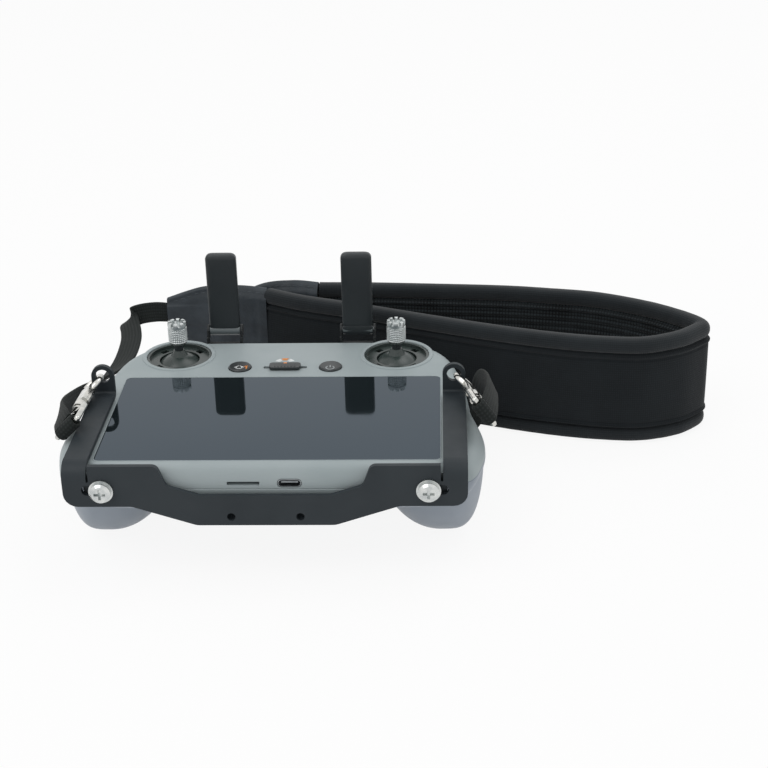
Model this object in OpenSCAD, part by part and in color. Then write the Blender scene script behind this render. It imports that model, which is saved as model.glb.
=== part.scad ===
// Radio transmitter controller with a built-in screen, held in a sheet-metal harness bracket
// that hangs from a padded neck strap by two snap hooks. Millimetres, +Z up, +Y away from the
// user. The origin lies on the table, straight below the middle of the screen.

/* [Casing] */
// Width of the controller across its grips
body_w = 168.4; // [160:0.2:180]
// Height of the top face over the table
face_z = 46; // [44:0.5:50]
// Distance of the near wall from the screen's middle
near_y = 43.8; // [42.5:0.1:46]
// Distance of the far wall from the screen's middle
far_y = 77.2; // [77:0.1:80]
// Height of the parting line between the two shells
part_z = 37; // [35:0.5:39]
// Underside of the casing's middle at the near wall
belly_near_z = 26.2; // [26:0.1:28]
// Underside of the casing's middle at the far wall
belly_far_z = 17; // [16:0.1:18]
// Wall of the casing's face and sides
wall = 2.4; // [2:0.1:2.6]
// How much narrower the waist behind the grips is, each side
waist = 5.4; // [4:0.1:6]
// Distance of each grip's middle from the centre line
grip_x = 66.5; // [64:0.1:67]

/* [Screen] */
// Width of the cover glass
glass_w = 133; // [130:0.5:134]
// Depth of the cover glass
glass_d = 74.5; // [72:0.5:76]
// Thickness of the cover glass
glass_t = 1; // [0.8:0.1:1.2]
// Width of the display panel under the glass
panel_w = 126; // [122:0.5:127]
// Depth of the display panel under the glass
panel_d = 70; // [68:0.5:71]

/* [Sticks] */
// Distance of each stick from the centre line
stick_x = 47.6; // [47:0.1:48]
// Distance of each stick from the screen's middle
stick_y = 60; // [59.6:0.1:60.2]
// Radius of the well that a stick stands in
well_r = 14.1; // [13.9:0.1:14.2]
// Width of the raised ring round a well
rim_w = 1.9; // [1.5:0.1:2.1]
// Depth of a stick's pivot below the face
pivot_drop = 10.5; // [10.3:0.1:10.7]
// Radius of the dome round the pivot
dome_r = 11.5; // [11.3:0.1:11.6]
// Radius of the pivot pins
trunnion_r = 1.2; // [1:0.1:1.4]
// Radius of a stick's knob
knob_r = 4.15; // [3.5:0.05:4.5]
// Height of a knob
knob_h = 10.9; // [9:0.1:12]
// Height of a knob's foot over the face
knob_lift = 5.4; // [5:0.1:7]

/* [Buttons] */
// Distance of the round buttons from the centre line
key_x = 19.5; // [18:0.1:22]
// Distance of the round buttons from the screen's middle
key_y = 47.2; // [46:0.1:48.5]
// Radius of a round button
key_r = 4.9; // [4.5:0.1:5.2]
// Width of the mode slider's cap
slider_w = 13.5; // [12:0.1:15]
// Depth of the mode slider's cap
slider_d = 5.4; // [5:0.1:6]
// Travel of the mode slider to each side
slider_travel = 2.4; // [2:0.1:2.6]
// Radius of the dials on the shoulders
dial_r = 10; // [9.5:0.1:10.4]
// Thickness of the dials
dial_t = 4.6; // [4:0.1:4.8]
// Radius of the record and shutter buttons
side_key_r = 3.2; // [2.8:0.1:3.3]
// Radius of the two buttons on the back
back_key_r = 4.5; // [4:0.1:5]

/* [Antennas] */
// Distance of each antenna from the centre line
antenna_x = 29.8; // [29:0.1:30.5]
// Width of an antenna
antenna_w = 13.6; // [12:0.1:14]
// Thickness of an antenna
antenna_t = 4.8; // [4:0.1:5.2]
// Height of an antenna's tip over its hinge
antenna_h = 36.4; // [30:0.1:37]
// Height of the antenna hinge over the face
hinge_lift = 3; // [2.9:0.1:4]
// Radius of the antenna hinge pins
hinge_pin_r = 1; // [0.8:0.05:1.2]

/* [Bracket] */
// Thickness of the bracket's sheet
sheet = 2; // [1.8:0.1:2.2]
// Gap between the near wall and the bracket's sheet
plate_gap = 1.7; // [1.6:0.1:2.2]
// Half width of the bracket
plate_hw = 76.8; // [76:0.1:78]
// Width of the arms that lie beside the screen
arm_w = 9.3; // [8.8:0.1:9.6]
// Gap between the arms and the top face
arm_gap = 0.9; // [0.8:0.1:1.2]
// Outer radius of the bend from the plate to the arms
bend_r = 6.5; // [5:0.1:7]
// Distance of the eyelets from the screen's middle
eyelet_y = 17.5; // [16:0.1:19]
// Height of the eyelets over the top face
eyelet_lift = 10.5; // [10:0.1:11]
// Radius of the eyelet holes
eyelet_r = 2.95; // [2.8:0.05:3.1]
// Distance of the clamping screws from the centre line
clamp_x = 62; // [60:0.1:63]
// Depth of the clamping screws below the top face
clamp_drop = 7.4; // [7:0.1:8]
// Radius of the clamping screws
clamp_r = 2; // [1.5:0.05:2.1]
// Distance between the two accessory holes
hole_gap = 26.4; // [24:0.1:30]
// Depth of the accessory holes below the top face
hole_drop = 18.95; // [18.6:0.05:19]
// Radius of the accessory holes
hole_r = 1.6; // [1.2:0.05:1.6]

/* [Snap hooks] */
// Radius of a claw, to the middle of its wire
claw_r = 5.2; // [5:0.05:5.4]
// Radius of a claw's wire
wire_r = 1.2; // [1.1:0.05:1.3]
// Length from a claw's middle to the end of its eye
hook_len = 36.4; // [35:0.1:38]
// Radius of a hook's collar
collar_r = 2.5; // [2.3:0.1:2.6]
// Inner width of a hook's eye
eye_w = 10.2; // [10:0.1:10.6]

/* [Strap] */
// Height of the neck pad as it stands on edge
pad_h = 50; // [46:0.5:52]
// Thickness of the neck pad
pad_t = 7; // [5:0.1:7.2]
// Thickness of the pad over its bound edges
edge_t = 8; // [7:0.1:8.2]
// Height of the bound edges
edge_h = 7; // [5:0.1:9]
// Width of the webbing
web_w = 9.8; // [8.5:0.1:9.9]
// Thickness of the webbing
web_t = 1.5; // [1:0.1:1.7]
// Thickness of the leather ends
leather_t = 8.6; // [7:0.1:8.8]

/* [Hidden] */
$fn = 48;

// Running clearance round a shaft, and the clearance of a piece that only has to go in
run_gap = 0.06;
loose_gap = 0.3;
seat_gap = 0.1;

// Outline of the casing: a squared-off ellipse about [0, outline_y] whose sides draw in to a
// waist behind the grips. square_x and square_y run over the edge of a square of half width 1.
outline_y = -18;
outline_power = 6;
half_w = body_w / 2;
near_len = near_y + outline_y;
far_len = far_y - outline_y;
function smooth(t) = let (u = min(1, max(0, t))) u * u * (3 - 2 * u);
function ramp(t) = min(1, max(0, t));
function side_at(y) = half_w - waist * smooth((y + 14) / 34) - 2.2 * ramp((y - 20) / 30)
    - 3 * smooth((-16 - y) / 20);
function root_sum(x, y) = pow(pow(abs(x), outline_power) + pow(abs(y), outline_power),
    1 / outline_power);
far_steps = 9;
near_steps = 4;
face_steps = 18;
side_places = concat([for (i = [0 : near_steps - 1]) i / near_steps - 1],
    [for (i = [0 : far_steps - 1]) i / far_steps]);
// The last side runs back from the far corner, so it starts at the far corner itself
square_walk = concat(
    [for (i = [0 : face_steps - 1]) [2 * i / face_steps - 1, -1]],
    [for (q = side_places) [1, q]],
    [for (i = [0 : face_steps - 1]) [1 - 2 * i / face_steps, 1]],
    [[-1, 1]],
    [for (i = [len(side_places) - 1 : -1 : 1]) [-1, side_places[i]]]);
unit_edge = [for (s = square_walk) s / root_sum(s.x, s.y)];
edge_count = len(unit_edge);

// A value that differs between the sides, the near wall and the far wall
function by_side(u, sides, near, far) = sides * pow(abs(u.x), outline_power)
    + (u.y < 0 ? near : far) * pow(abs(u.y), outline_power);
function reach(u) = by_side(u, half_w, near_len, far_len);
// The place at share r of the way from the outline's middle to its edge
function plan_at(u, r) = let (y = outline_y + r * u.y * (u.y < 0 ? near_len : far_len))
    [r * u.x * side_at(y), y];
function round_up(t) = let (u = 1 - ramp(t)) sqrt(1 - u * u);

// Depth of the underside below the parting line: a slab with rounded edges, joined smoothly
// to two long egg-shaped grips
grip_y = 2;
grip_near = near_y - 6.8;
grip_far = 62;
grip_in = 27;
function belly_low(y) = belly_near_z
    + (belly_far_z - belly_near_z) * ramp((y + near_y - 12) / (near_y + far_y - 12));
function slab_depth(u, r) = let (away = (1 - r) * reach(u))
    (part_z - belly_low(plan_at(u, r).y)) * round_up(away / by_side(u, 12, 5, 7));
function grip_depth(u, r) = let (p = plan_at(u, r), x = abs(p.x) * half_w / side_at(p.y),
        ex = x > grip_x ? pow((x - grip_x) / (half_w - grip_x), 4) : pow((grip_x - x) / grip_in, 2),
        ey = abs(p.y - grip_y) / (p.y < grip_y ? grip_near : grip_far))
    part_z * pow(max(0, 1 - ex - pow(ey, 2.6)), 0.5);
function soft_max(a, b, k) = (a + b + sqrt((a - b) * (a - b) + k * k)) / 2;
function belly_depth(u, r) = let (k = 7 * ramp((1 - r) * reach(u) / 9))
    soft_max(slab_depth(u, r), grip_depth(u, r), k) - k * 0.12;
function top_rise(u, r) = (face_z - part_z)
    * round_up((1 - r) * reach(u) / by_side(u, 8, 3.5, 5));

// Shares of the way in at which the rounded skins take their rings of points
belly_rings = [1, 0.985, 0.96, 0.93, 0.89, 0.84, 0.77, 0.68, 0.57, 0.45, 0.32, 0.16];
top_rings = [1, 0.99, 0.97, 0.945, 0.91, 0.86];

// Thickness of the side walls, more where the top edge is rounded most
function inset(u) = by_side(u, wall + 3.1, wall + 0.2, wall + 0.8);
function inner_edge(u) = plan_at(u, 1 - inset(u) / reach(u));

// A closed skin from rings of points, each ring edge_count long, the last ring closed flat
module ring_skin(points, rings, upward) {
    side = [for (k = [0 : rings - 2]) for (i = [0 : edge_count - 1])
        let (a = k * edge_count + i, b = k * edge_count + (i + 1) % edge_count)
        upward ? [a, a + edge_count, b + edge_count, b] : [a, b, b + edge_count, a + edge_count]];
    first = [for (i = [0 : edge_count - 1]) i];
    last = [for (i = [0 : edge_count - 1]) (rings - 1) * edge_count + i];
    caps = upward ? [first, reverse(last)] : [reverse(first), last];
    polyhedron(points, concat(side, caps), convexity = 6);
}
function reverse(list) = [for (i = [len(list) - 1 : -1 : 0]) list[i]];

// A ribbon: a closed skin through a list of loops, all with the same number of points
module ribbon(loops) {
    n = len(loops[0]);
    side = [for (k = [0 : len(loops) - 2]) for (i = [0 : n - 1])
        let (a = k * n + i, b = k * n + (i + 1) % n)
        each [[a, b, b + n], [a, b + n, a + n]]];
    first = [for (i = [n - 1 : -1 : 0]) i];
    last = [for (i = [0 : n - 1]) (len(loops) - 1) * n + i];
    polyhedron([for (loop = loops) each loop], concat(side, [first, last]), convexity = 8);
}

// A smooth curve through hand-chosen rows of numbers
function curve(a, b, c, d, t) = 0.5 * (2 * b + (c - a) * t + (2 * a - 5 * b + 4 * c - d) * t * t
    + (3 * b - a - 3 * c + d) * t * t * t);
function through(rows, steps) = let (n = len(rows)) concat(
    [for (i = [0 : n - 2]) for (s = [0 : steps - 1])
        curve(rows[max(0, i - 1)], rows[i], rows[i + 1], rows[min(n - 1, i + 2)], s / steps)],
    [rows[n - 1]]);
function unit(v) = v / norm(v);

// Turns a shape so that its +Z points along dir and its +X leans towards hint
module aim(dir, hint) {
    tilt = acos(dir.z / norm(dir));
    turn = atan2(dir.y, dir.x);
    ax = [cos(turn) * cos(tilt), sin(turn) * cos(tilt), -sin(tilt)];
    ay = [-sin(turn), cos(turn), 0];
    rotate([0, tilt, turn]) rotate([0, 0, atan2(hint * ay, hint * ax)]) children();
}
module both_sides() {
    children();
    mirror([1, 0, 0]) children();
}
// A bar with square ends, round corners in plan and its middle on the Z axis
module plate(w, d, h, r) {
    translate([-w / 2 + r, -d / 2, 0]) cube([w - 2 * r, d, h]);
    translate([-w / 2, -d / 2 + r, 0]) cube([w, d - 2 * r, h]);
    for (x = [-1, 1]) for (y = [-1, 1])
        translate([x * (w / 2 - r), y * (d / 2 - r), 0]) cylinder(r = r, h = h);
}

// Heights inside the casing, from the face downwards
face_in = face_z - wall;
glass_low = face_z - glass_t;
panel_t = 2.4;
panel_low = glass_low - 0.1 - panel_t;
frame_t = 1.3;
frame_low = panel_low - 0.1 - frame_t;
board_t = 1.6;
board_top = frame_low - 2.8;
board_low = board_top - board_t;
board_w = 104;
board_y0 = -27;
board_y1 = 32;
standoff_x = board_w / 2 - 6;
standoff_y = -board_y0 - 3;
window_w = 0.48 * standoff_x;
window_d = 2 * standoff_y - 4;
standoff_r = 2;
port_z = face_z - 6.6;
usb_x = 9.2;
card_x = -8.4;

// Gimbals
pivot_z = face_z - pivot_drop;
cup_r = well_r + 0.9;
cup_low = pivot_z - 6.6;
cover_low = pivot_z + 7.8;
cover_t = 1;
tilt_max = 18;

// Casing screws stand in pairs beside the centre line, near and far
screw_r = 0.9;
screw_places = [[50, -38.4], [13, 71]];
boss_r = 2.3;
screw_split = 33;
screw_low = 28.4;

// Side buttons stand square to the shoulders
shoulder_unit = [0.93, 0.8407];
shoulder = plan_at(shoulder_unit, 1);
shoulder_dir = [0.899, 0.438, 0];
side_key_z = part_z - 6.5;
dial_x = 52;
dial_y = stick_y + 6;
dial_low = 21;
axle_r = 1.2;
back_key_x = 33;
back_key_y = 30;
back_key_low = 17.9;
back_key_h = 8;

// Fan and speaker
fan_x = 0;
fan_y = 14;
fan_r = 13;
fan_low = belly_low(fan_y - 15) + wall + 2;
fan_h = 5.4;
speaker_x = -26;
speaker_y = -16;
speaker_r = 9;
speaker_low = 28.6;

// Battery cells
cell_r = 9.1;
cell_x = grip_x - 4.3;
cell_z = 24;
cell_y0 = -25;
cell_len = 65;
saddle_places = [-12, 24];
saddle_t = 6;

// Bracket
plate_y = -near_y - plate_gap - sheet;
arm_low = face_z + arm_gap;
arm_top = arm_low + sheet;
arm_x0 = plate_hw - arm_w;
eyelet_x = plate_hw - arm_w / 2;
eyelet_z = face_z + eyelet_lift;
tab_y = eyelet_y - sheet / 2;
tab_w = arm_w;
clamp_z = face_z - clamp_drop;
slot_end = 69.5;
washer_r = 4.7;
washer_t = 1;
head_r = 4;
head_h = 2.4;
tongue_hw = 20;
plate_low = 23.4;
pad_strip = 0.6;

// Antennas
hinge_y = far_y + 4.3;
hinge_z = face_z + hinge_lift;
knuckle_r = 2.4;
ear_t = 0.9;

// ---- casing ----

module top_skin() {
    n = len(top_rings);
    points = [for (r = top_rings) for (u = unit_edge)
        concat(plan_at(u, r), part_z + top_rise(u, r))];
    ring_skin(points, n, true);
}

module cavity_plan() {
    polygon([for (u = unit_edge) inner_edge(u)]);
}

module gimbal_pocket() {
    both_sides() translate([stick_x, stick_y, 0]) {
        translate([0, 0, cup_low + 2.4]) cylinder(r = cup_r + 0.2, h = face_in - cup_low - 2.4);
        translate([0, 0, cup_low - 0.3]) cylinder(r = cup_r - 1.4, h = 3);
    }
}

module key_holes(gap) {
    for (x = [-key_x, key_x]) translate([x, key_y, 30]) cylinder(r = key_r + gap, h = 30);
    translate([-slider_w / 2 - slider_travel - 0.2, key_y - 1.1, 40]) cube([
        slider_w + 2 * slider_travel + 0.4, 2.2, 10]);
}

module top_shell() {
    color("#8f9a9a") {
        difference() {
            union() {
                difference() {
                    top_skin();
                    translate([0, 0, part_z - 1]) linear_extrude(face_in - part_z + 1)
                        cavity_plan();
                    gimbal_pocket();
                }
                both_sides() {
                    translate([stick_x, stick_y, face_in - 0.1]) cylinder(r = well_r + rim_w,
                        h = wall + 0.6);
                    for (p = screw_places) translate([p.x, p.y, screw_split])
                        cylinder(r = boss_r, h = face_in - screw_split + 0.5);
                }
            }
            translate([0, 0, glass_low - 0.05]) plate(glass_w + 0.3, glass_d + 0.3, 3, 2.2);
            translate([0, 0, part_z]) plate(panel_w + 0.6, panel_d + 0.6, 12, 1);
            both_sides() {
                translate([stick_x, stick_y, part_z]) cylinder(r = well_r, h = 20);
                for (p = screw_places) translate([p.x, p.y, screw_split - 1])
                    cylinder(r = screw_r, h = 9);
            }
            key_holes(0.2);
            usb_mouth(0.25);
            card_mouth(0.25);
            hinge_sockets();
        }
    }
}

module usb_mouth(gap) {
    translate([usb_x, -near_y - 2, port_z]) rotate([-90, 0, 0])
        plate(8.94 + 2 * gap, 3.2 + 2 * gap, 12, 1.5);
}
module card_mouth(gap) {
    translate([card_x - 6 - gap, -near_y - 2, port_z - 0.5 - gap])
        cube([12 + 2 * gap, 12, 1 + 2 * gap]);
}

module belly_skin(thin) {
    n = len(belly_rings);
    rings = thin > 0 ? concat([1], belly_rings) : belly_rings;
    points = [for (k = [0 : len(rings) - 1]) for (u = unit_edge)
        let (top = thin > 0 && k == 0, in = thin > 0 ? 1 - inset(u) / reach(u) : 1,
            r = rings[k] * in)
        concat(plan_at(u, r), top ? part_z + 1
            : part_z - max(thin > 0 ? 0.5 * (1 - rings[k]) : 0, belly_depth(u, r) - thin))];
    ring_skin(points, len(rings), false);
}

module bottom_shell() {
    color("#8a939c") difference() {
        union() {
            difference() {
                belly_skin(0);
                belly_skin(wall + 0.5);
                gimbal_pocket();
            }
            both_sides() {
                for (y = saddle_places) translate([cell_x, y, 4.2])
                    cylinder(r = 3, h = cell_z - cell_r - 3.1 - 4.2);
                translate([dial_x, dial_y, 19]) cylinder(r = 2.6, h = dial_low - 0.3 - 19);
            }
            translate([screw_places[0].x, screw_places[0].y, 26.6])
                cylinder(r = boss_r, h = screw_split - 26.6);
            translate([-screw_places[0].x, screw_places[0].y, 26.6])
                cylinder(r = boss_r, h = screw_split - 26.6);
            both_sides() translate([screw_places[1].x, screw_places[1].y, 20.4])
                cylinder(r = boss_r, h = screw_split - 20.4);
            translate([speaker_x, speaker_y, 25]) difference() {
                cylinder(r = speaker_r, h = speaker_low - 25);
                translate([0, 0, -1]) cylinder(r = speaker_r - 1.6, h = 9);
            }
        }
        both_sides() {
            for (p = screw_places) {
                translate([p.x, p.y, 10]) cylinder(r = screw_r + 0.2, h = 30);
                translate([p.x, p.y, 10]) cylinder(r = 2 * screw_r + 0.1, h = screw_low - 10);
            }
            translate([dial_x, dial_y, dial_low - 0.3]) cylinder(r = dial_r + 0.6,
                h = dial_t + 0.6);
            translate([dial_x, dial_y, 19.4]) cylinder(r = axle_r, h = 9);
            translate(side_key_origin()) aim(shoulder_dir, [0, 0, 1])
                translate([0, 0, -6]) cylinder(r = side_key_r + 0.2, h = 12);
            translate([back_key_x, back_key_y, 10]) cylinder(r = back_key_r + 0.2, h = 20);
        }
        vents();
    }
}
function side_key_origin() = [shoulder.x, shoulder.y, side_key_z];

// Intake slots under the fan, speaker holes, and exhaust slots in the far wall
module vents() {
    for (i = [-3 : 3]) translate([fan_x + 4 * i - 0.8, fan_y - 9, 10]) cube([1.6, 18, 20]);
    for (i = [-2 : 2]) for (j = [-2 : 2])
        translate([speaker_x + 2.4 * i, speaker_y + 2.4 * j, 15]) cylinder(r = 0.6, h = 14);
    for (i = [-3 : 3]) translate([3 * i - 0.6, far_y - 8, 25]) cube([1.2, 12, 8]);
}

module cover_glass() {
    color("#1b2124") translate([0, 0, glass_low]) plate(glass_w, glass_d, glass_t, 2);
}

module display_panel() {
    color("#2a2f33") translate([0, 0, panel_low]) plate(panel_w, panel_d, panel_t, 0.8);
}

// Chassis plate behind the panel, with standoffs for the board and a rim under the face
module mid_frame() {
    color("#5b6165") {
        difference() {
            union() {
                translate([0, 0, frame_low]) plate(panel_w + 6, panel_d + 3, frame_t, 2);
                for (x = [-1, 1]) for (y = [-1, 1])
                    translate([x * standoff_x, y * standoff_y, board_top])
                        cylinder(r = standoff_r, h = frame_low - board_top + 0.2);
            }
            for (x = [-1 : 1]) translate([0.65 * x * standoff_x, 0, frame_low - 1])
                plate(window_w, window_d, 4, 3);
        }
        both_sides() translate([panel_w / 2 + 1, -panel_d / 2, frame_low + frame_t - 0.1])
            cube([2, panel_d, face_in - frame_low - frame_t]);
    }
}

module main_board() {
    color("#1f4a36") difference() {
        translate([-board_w / 2, board_y0, board_low]) cube([board_w, board_y1 - board_y0, board_t]);
        for (x = [-1, 1]) for (y = [-1, 1])
            translate([x * standoff_x, y * standoff_y, board_low - 1]) cylinder(r = 1, h = 4);
    }
}

// Shielding cans under and over the board: middle x and y, width and depth
low_cans = [[-34, -4, 22, 26], [34, -2, 20, 30]];
high_cans = [[-22, 8, 24, 20], [20, 8, 20, 20]];
low_can_h = 1.4;
high_can_h = 1.2;
module shield_cans() {
    color("#9aa0a3") {
        for (c = low_cans) translate([c[0], c[1], board_low - low_can_h - 0.1])
            plate(c[2], c[3], low_can_h, 1);
        for (c = high_cans) translate([c[0], c[1], board_top + 0.05])
            plate(c[2], c[3], high_can_h, 1);
    }
}

// Finned plate between the board and the fan
sink_t = 1.6;
sink_w = 34;
sink_d = 24;
sink_y = -13;
fin_pitch = 3;
fin_h = 4;
module heat_sink() {
    color("#b0b4b6") {
        translate([fan_x, sink_y, board_low - sink_t - 0.1]) plate(sink_w, sink_d, sink_t, 1);
        for (i = [-5 : 5])
            translate([fan_x + fin_pitch * i - 0.5, sink_y - sink_d / 2 + 1,
                board_low - sink_t - fin_h + 0.2]) cube([1, sink_d - 2, fin_h]);
    }
}

// Fan: an open square frame with a spindle, hung under the board by four feet
fan_top = fan_low + fan_h + 1.2;
fan_side = 30;
fan_foot = 13;
module fan_frame() {
    color("#23272a") {
        difference() {
            translate([fan_x, fan_y, fan_low - 1])
                plate(fan_side, fan_side, fan_top - fan_low, 3);
            translate([fan_x, fan_y, fan_low]) cylinder(r = fan_r + 0.6, h = 20);
            for (a = [45 : 90 : 315]) translate([fan_x, fan_y, fan_low - 2]) rotate(a)
                translate([7.8, 0, 0]) cylinder(r = 3.2, h = 4);
        }
        translate([fan_x, fan_y, fan_low - 0.5]) cylinder(r = 1, h = fan_h);
        for (x = [-1, 1]) for (y = [-1, 1])
            translate([fan_x + fan_foot * x, fan_y + fan_foot * y, fan_top - 1.5])
                cylinder(r = 1.3, h = board_low - fan_top + 1.4);
    }
}

blade_count = 7;
module fan_rotor() {
    color("#3a3f43") translate([fan_x, fan_y, fan_low + 0.4]) difference() {
        union() {
            cylinder(r = 5, h = fan_h - 0.6);
            for (i = [0 : blade_count - 1]) rotate(i * 360 / blade_count)
                translate([4, 0, (fan_h - 0.6) / 2]) rotate([40, 0, 0])
                    translate([0, -0.4, -2.1]) cube([fan_r - 4.4, 0.8, 4.2]);
        }
        translate([0, 0, -1]) cylinder(r = 1 + run_gap, h = fan_h + 4);
    }
}

module battery_cells() {
    color("#3c6fa0") both_sides() translate([cell_x, cell_y0, cell_z]) rotate([-90, 0, 0])
        cylinder(r = cell_r, h = cell_len);
}

module cell_saddles() {
    color("#23272a") both_sides() for (y = saddle_places) difference() {
        translate([cell_x - 8, y - saddle_t / 2, cell_z - cell_r - 3]) cube([16, saddle_t, 7]);
        translate([cell_x, y - saddle_t, cell_z]) rotate([-90, 0, 0])
            cylinder(r = cell_r + 0.1, h = 2 * saddle_t);
    }
}

module speaker() {
    color("#2a2d30") translate([speaker_x, speaker_y, speaker_low]) {
        cylinder(r = speaker_r, h = 1.4);
        translate([0, 0, 1.2]) cylinder(r = speaker_r - 3, h = 2.6);
    }
}

// The small board just inside the near wall that carries the two sockets
module port_board() {
    color("#1f4a36") difference() {
        translate([-19, -near_y + wall + 0.5, port_z - 2.9]) cube([36, 9.5, 1.2]);
        translate([card_x + 1, -near_y + 8, port_z - 3.5]) cylinder(r = 1, h = 3);
    }
}

module usb_socket() {
    color("#9aa0a3") {
        difference() {
            translate([usb_x, -near_y + 0.4, port_z]) rotate([-90, 0, 0])
                plate(8.94, 3.2, 7.3, 1.5);
            translate([usb_x, -near_y, port_z]) rotate([-90, 0, 0])
                plate(8.34, 2.6, 6.5, 1.2);
        }
        translate([usb_x - 3.2, -near_y + 1.4, port_z - 0.35]) cube([6.4, 6, 0.7]);
    }
}

module card_socket() {
    color("#9aa0a3") difference() {
        translate([card_x - 7, -near_y + wall + 0.5, port_z - 1.65]) cube([14, 9, 2.6]);
        translate([card_x - 5.6, -near_y, port_z - 0.45]) cube([11.2, 10.5, 0.9]);
    }
}

// ---- keys on the face ----

key_lift = 0.9;
key_flange = 0.9;
key_foot = face_in - seat_gap - key_flange;
key_travel = 0.6;
key_board_top = key_foot - key_travel - 2.4;

module key_board() {
    color("#1f4a36") difference() {
        translate([-28, key_y - 6, key_board_top - 1.2]) cube([56, 12, 1.2]);
        for (x = [-10, 10]) translate([x, key_y, key_board_top - 2]) cylinder(r = 1, h = 4);
    }
}

module tact_switches() {
    color("#c9c2ae") {
        for (x = [-key_x, key_x]) translate([x, key_y, key_board_top]) cylinder(r = 2, h = 1.2);
        translate([-5, key_y - 2, key_board_top]) cube([10, 4, 1.2]);
    }
}

module round_key() {
    translate([0, 0, key_foot]) {
        cylinder(r = key_r + 0.9, h = key_flange);
        cylinder(r = key_r, h = face_z + key_lift - 0.5 - key_foot);
        translate([0, 0, face_z + key_lift - 0.5 - key_foot])
            cylinder(r1 = key_r, r2 = key_r - 0.5, h = 0.5, $fn = 48);
        translate([0, 0, -1]) cylinder(r = 1.6, h = 1.2);
    }
}
module home_button() {
    color("#2a2e30") translate([-key_x, key_y, 0]) round_key();
}
module power_button() {
    color("#2a2e30") translate([key_x, key_y, 0]) round_key();
}

module mode_slider() {
    color("#25292b") translate([0, key_y, 0]) {
        translate([0, -1, face_z + 0.15]) plate(slider_w, slider_d, 1.5, 1.6);
        translate([-slider_w / 2 + 0.2, -0.9, key_foot]) cube([slider_w - 0.4, 1.8, face_z
            - key_foot + 0.3]);
        translate([0, 0, key_foot]) plate(slider_w + 2, 4, key_flange, 0.8);
        translate([-2, -1, key_foot - 1.1]) cube([4, 2, 1.3]);
    }
}

// ---- gimbals ----

module gimbal_housing() {
    translate([stick_x, stick_y, 0]) difference() {
        union() {
            translate([0, 0, cup_low + 2.6]) cylinder(r = cup_r, h = face_in - cup_low - 2.7);
            translate([0, 0, cup_low]) cylinder(r = cup_r - 1.7, h = 3);
        }
        translate([0, 0, cup_low + 1.1]) cylinder(r = cup_r - 2.8, h = 6);
        translate([0, 0, cup_low + 3.6]) cylinder(r = cup_r - 2, h = 20);
        translate([0, 0, cover_low]) cylinder(r = cup_r - 1, h = 20);
        translate([0, 0, cup_low - 1]) cylinder(r = 5, h = 4);
        translate([0, 0, pivot_z]) rotate([90, 0, 0])
            cylinder(r = trunnion_r + run_gap, h = 3 * cup_r, center = true);
    }
}
module left_gimbal_housing() {
    color("#2b3033") mirror([1, 0, 0]) gimbal_housing();
}
module right_gimbal_housing() {
    color("#2b3033") gimbal_housing();
}

slot_count = 4;
module gimbal_covers() {
    color("#1d2122") both_sides() translate([stick_x, stick_y, cover_low]) difference() {
        union() {
            cylinder(r = cup_r - 1.1, h = cover_t);
            difference() {
                cylinder(r = cup_r - 1.1, h = face_z - 0.2 - cover_low);
                translate([0, 0, -1]) cylinder(r = cup_r - 2, h = 9);
            }
        }
        translate([0, 0, -1]) cylinder(r = dome_r * 0.76, h = 3);
        for (i = [0 : slot_count - 1]) rotate(45 + i * 360 / slot_count)
            translate([dome_r - 1.7, -1.7, -1]) cube([2.6, 3.4, 3]);
    }
}

yoke_r = dome_r - 1.9;
module gimbal_yoke() {
    translate([stick_x, stick_y, pivot_z]) difference() {
        union() {
            difference() {
                translate([0, 0, -1.5]) cylinder(r = yoke_r, h = 3);
                translate([0, 0, -3]) cylinder(r = yoke_r - 2.2, h = 6);
            }
            for (a = [90, 270]) rotate(a) translate([yoke_r - 0.8, 0, 0]) rotate([0, 90, 0])
                cylinder(r = trunnion_r, h = cup_r - 0.7 - yoke_r + 0.8);
        }
        rotate([0, 90, 0]) cylinder(r = trunnion_r + run_gap, h = 4 * yoke_r, center = true);
    }
}
module left_gimbal_yoke() {
    color("#6d7377") mirror([1, 0, 0]) gimbal_yoke();
}
module right_gimbal_yoke() {
    color("#6d7377") gimbal_yoke();
}

stick_r = 1.9;
stud_r = 1.5;
neck_top = face_z + knob_lift - 0.1;
module stick_shaft() {
    translate([stick_x, stick_y, 0]) {
        translate([0, 0, pivot_z - 3]) cylinder(r = 3.2, h = 6);
        translate([0, 0, pivot_z]) rotate([0, 90, 0])
            cylinder(r = trunnion_r, h = 2 * yoke_r - 0.4, center = true);
        translate([0, 0, pivot_z + 2]) cylinder(r = 2.9, h = dome_r - 3.5);
        translate([0, 0, pivot_z + 4]) cylinder(r = stick_r, h = neck_top - pivot_z - 4);
        translate([0, 0, neck_top - 1]) cylinder(r = stud_r, h = 7);
    }
}
module left_stick_shaft() {
    color("#202426") mirror([1, 0, 0]) stick_shaft();
}
module right_stick_shaft() {
    color("#202426") stick_shaft();
}

dome_wall = 0.9;
nipple_r = 3.6;
nipple_h = 2.6;
module stick_dome() {
    translate([stick_x, stick_y, pivot_z]) difference() {
        union() {
            intersection() {
                sphere(r = dome_r);
                translate([0, 0, dome_r * 0.47]) cylinder(r = dome_r + 1, h = dome_r);
            }
            translate([0, 0, dome_r - 0.6]) cylinder(r1 = nipple_r, r2 = nipple_r - 1.3,
                h = nipple_h, $fn = 48);
        }
        sphere(r = dome_r - dome_wall);
        cylinder(r = stick_r + 0.03, h = 2 * dome_r);
    }
}
module left_stick_dome() {
    color("#262b2c") mirror([1, 0, 0]) stick_dome();
}
module right_stick_dome() {
    color("#262b2c") stick_dome();
}

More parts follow.
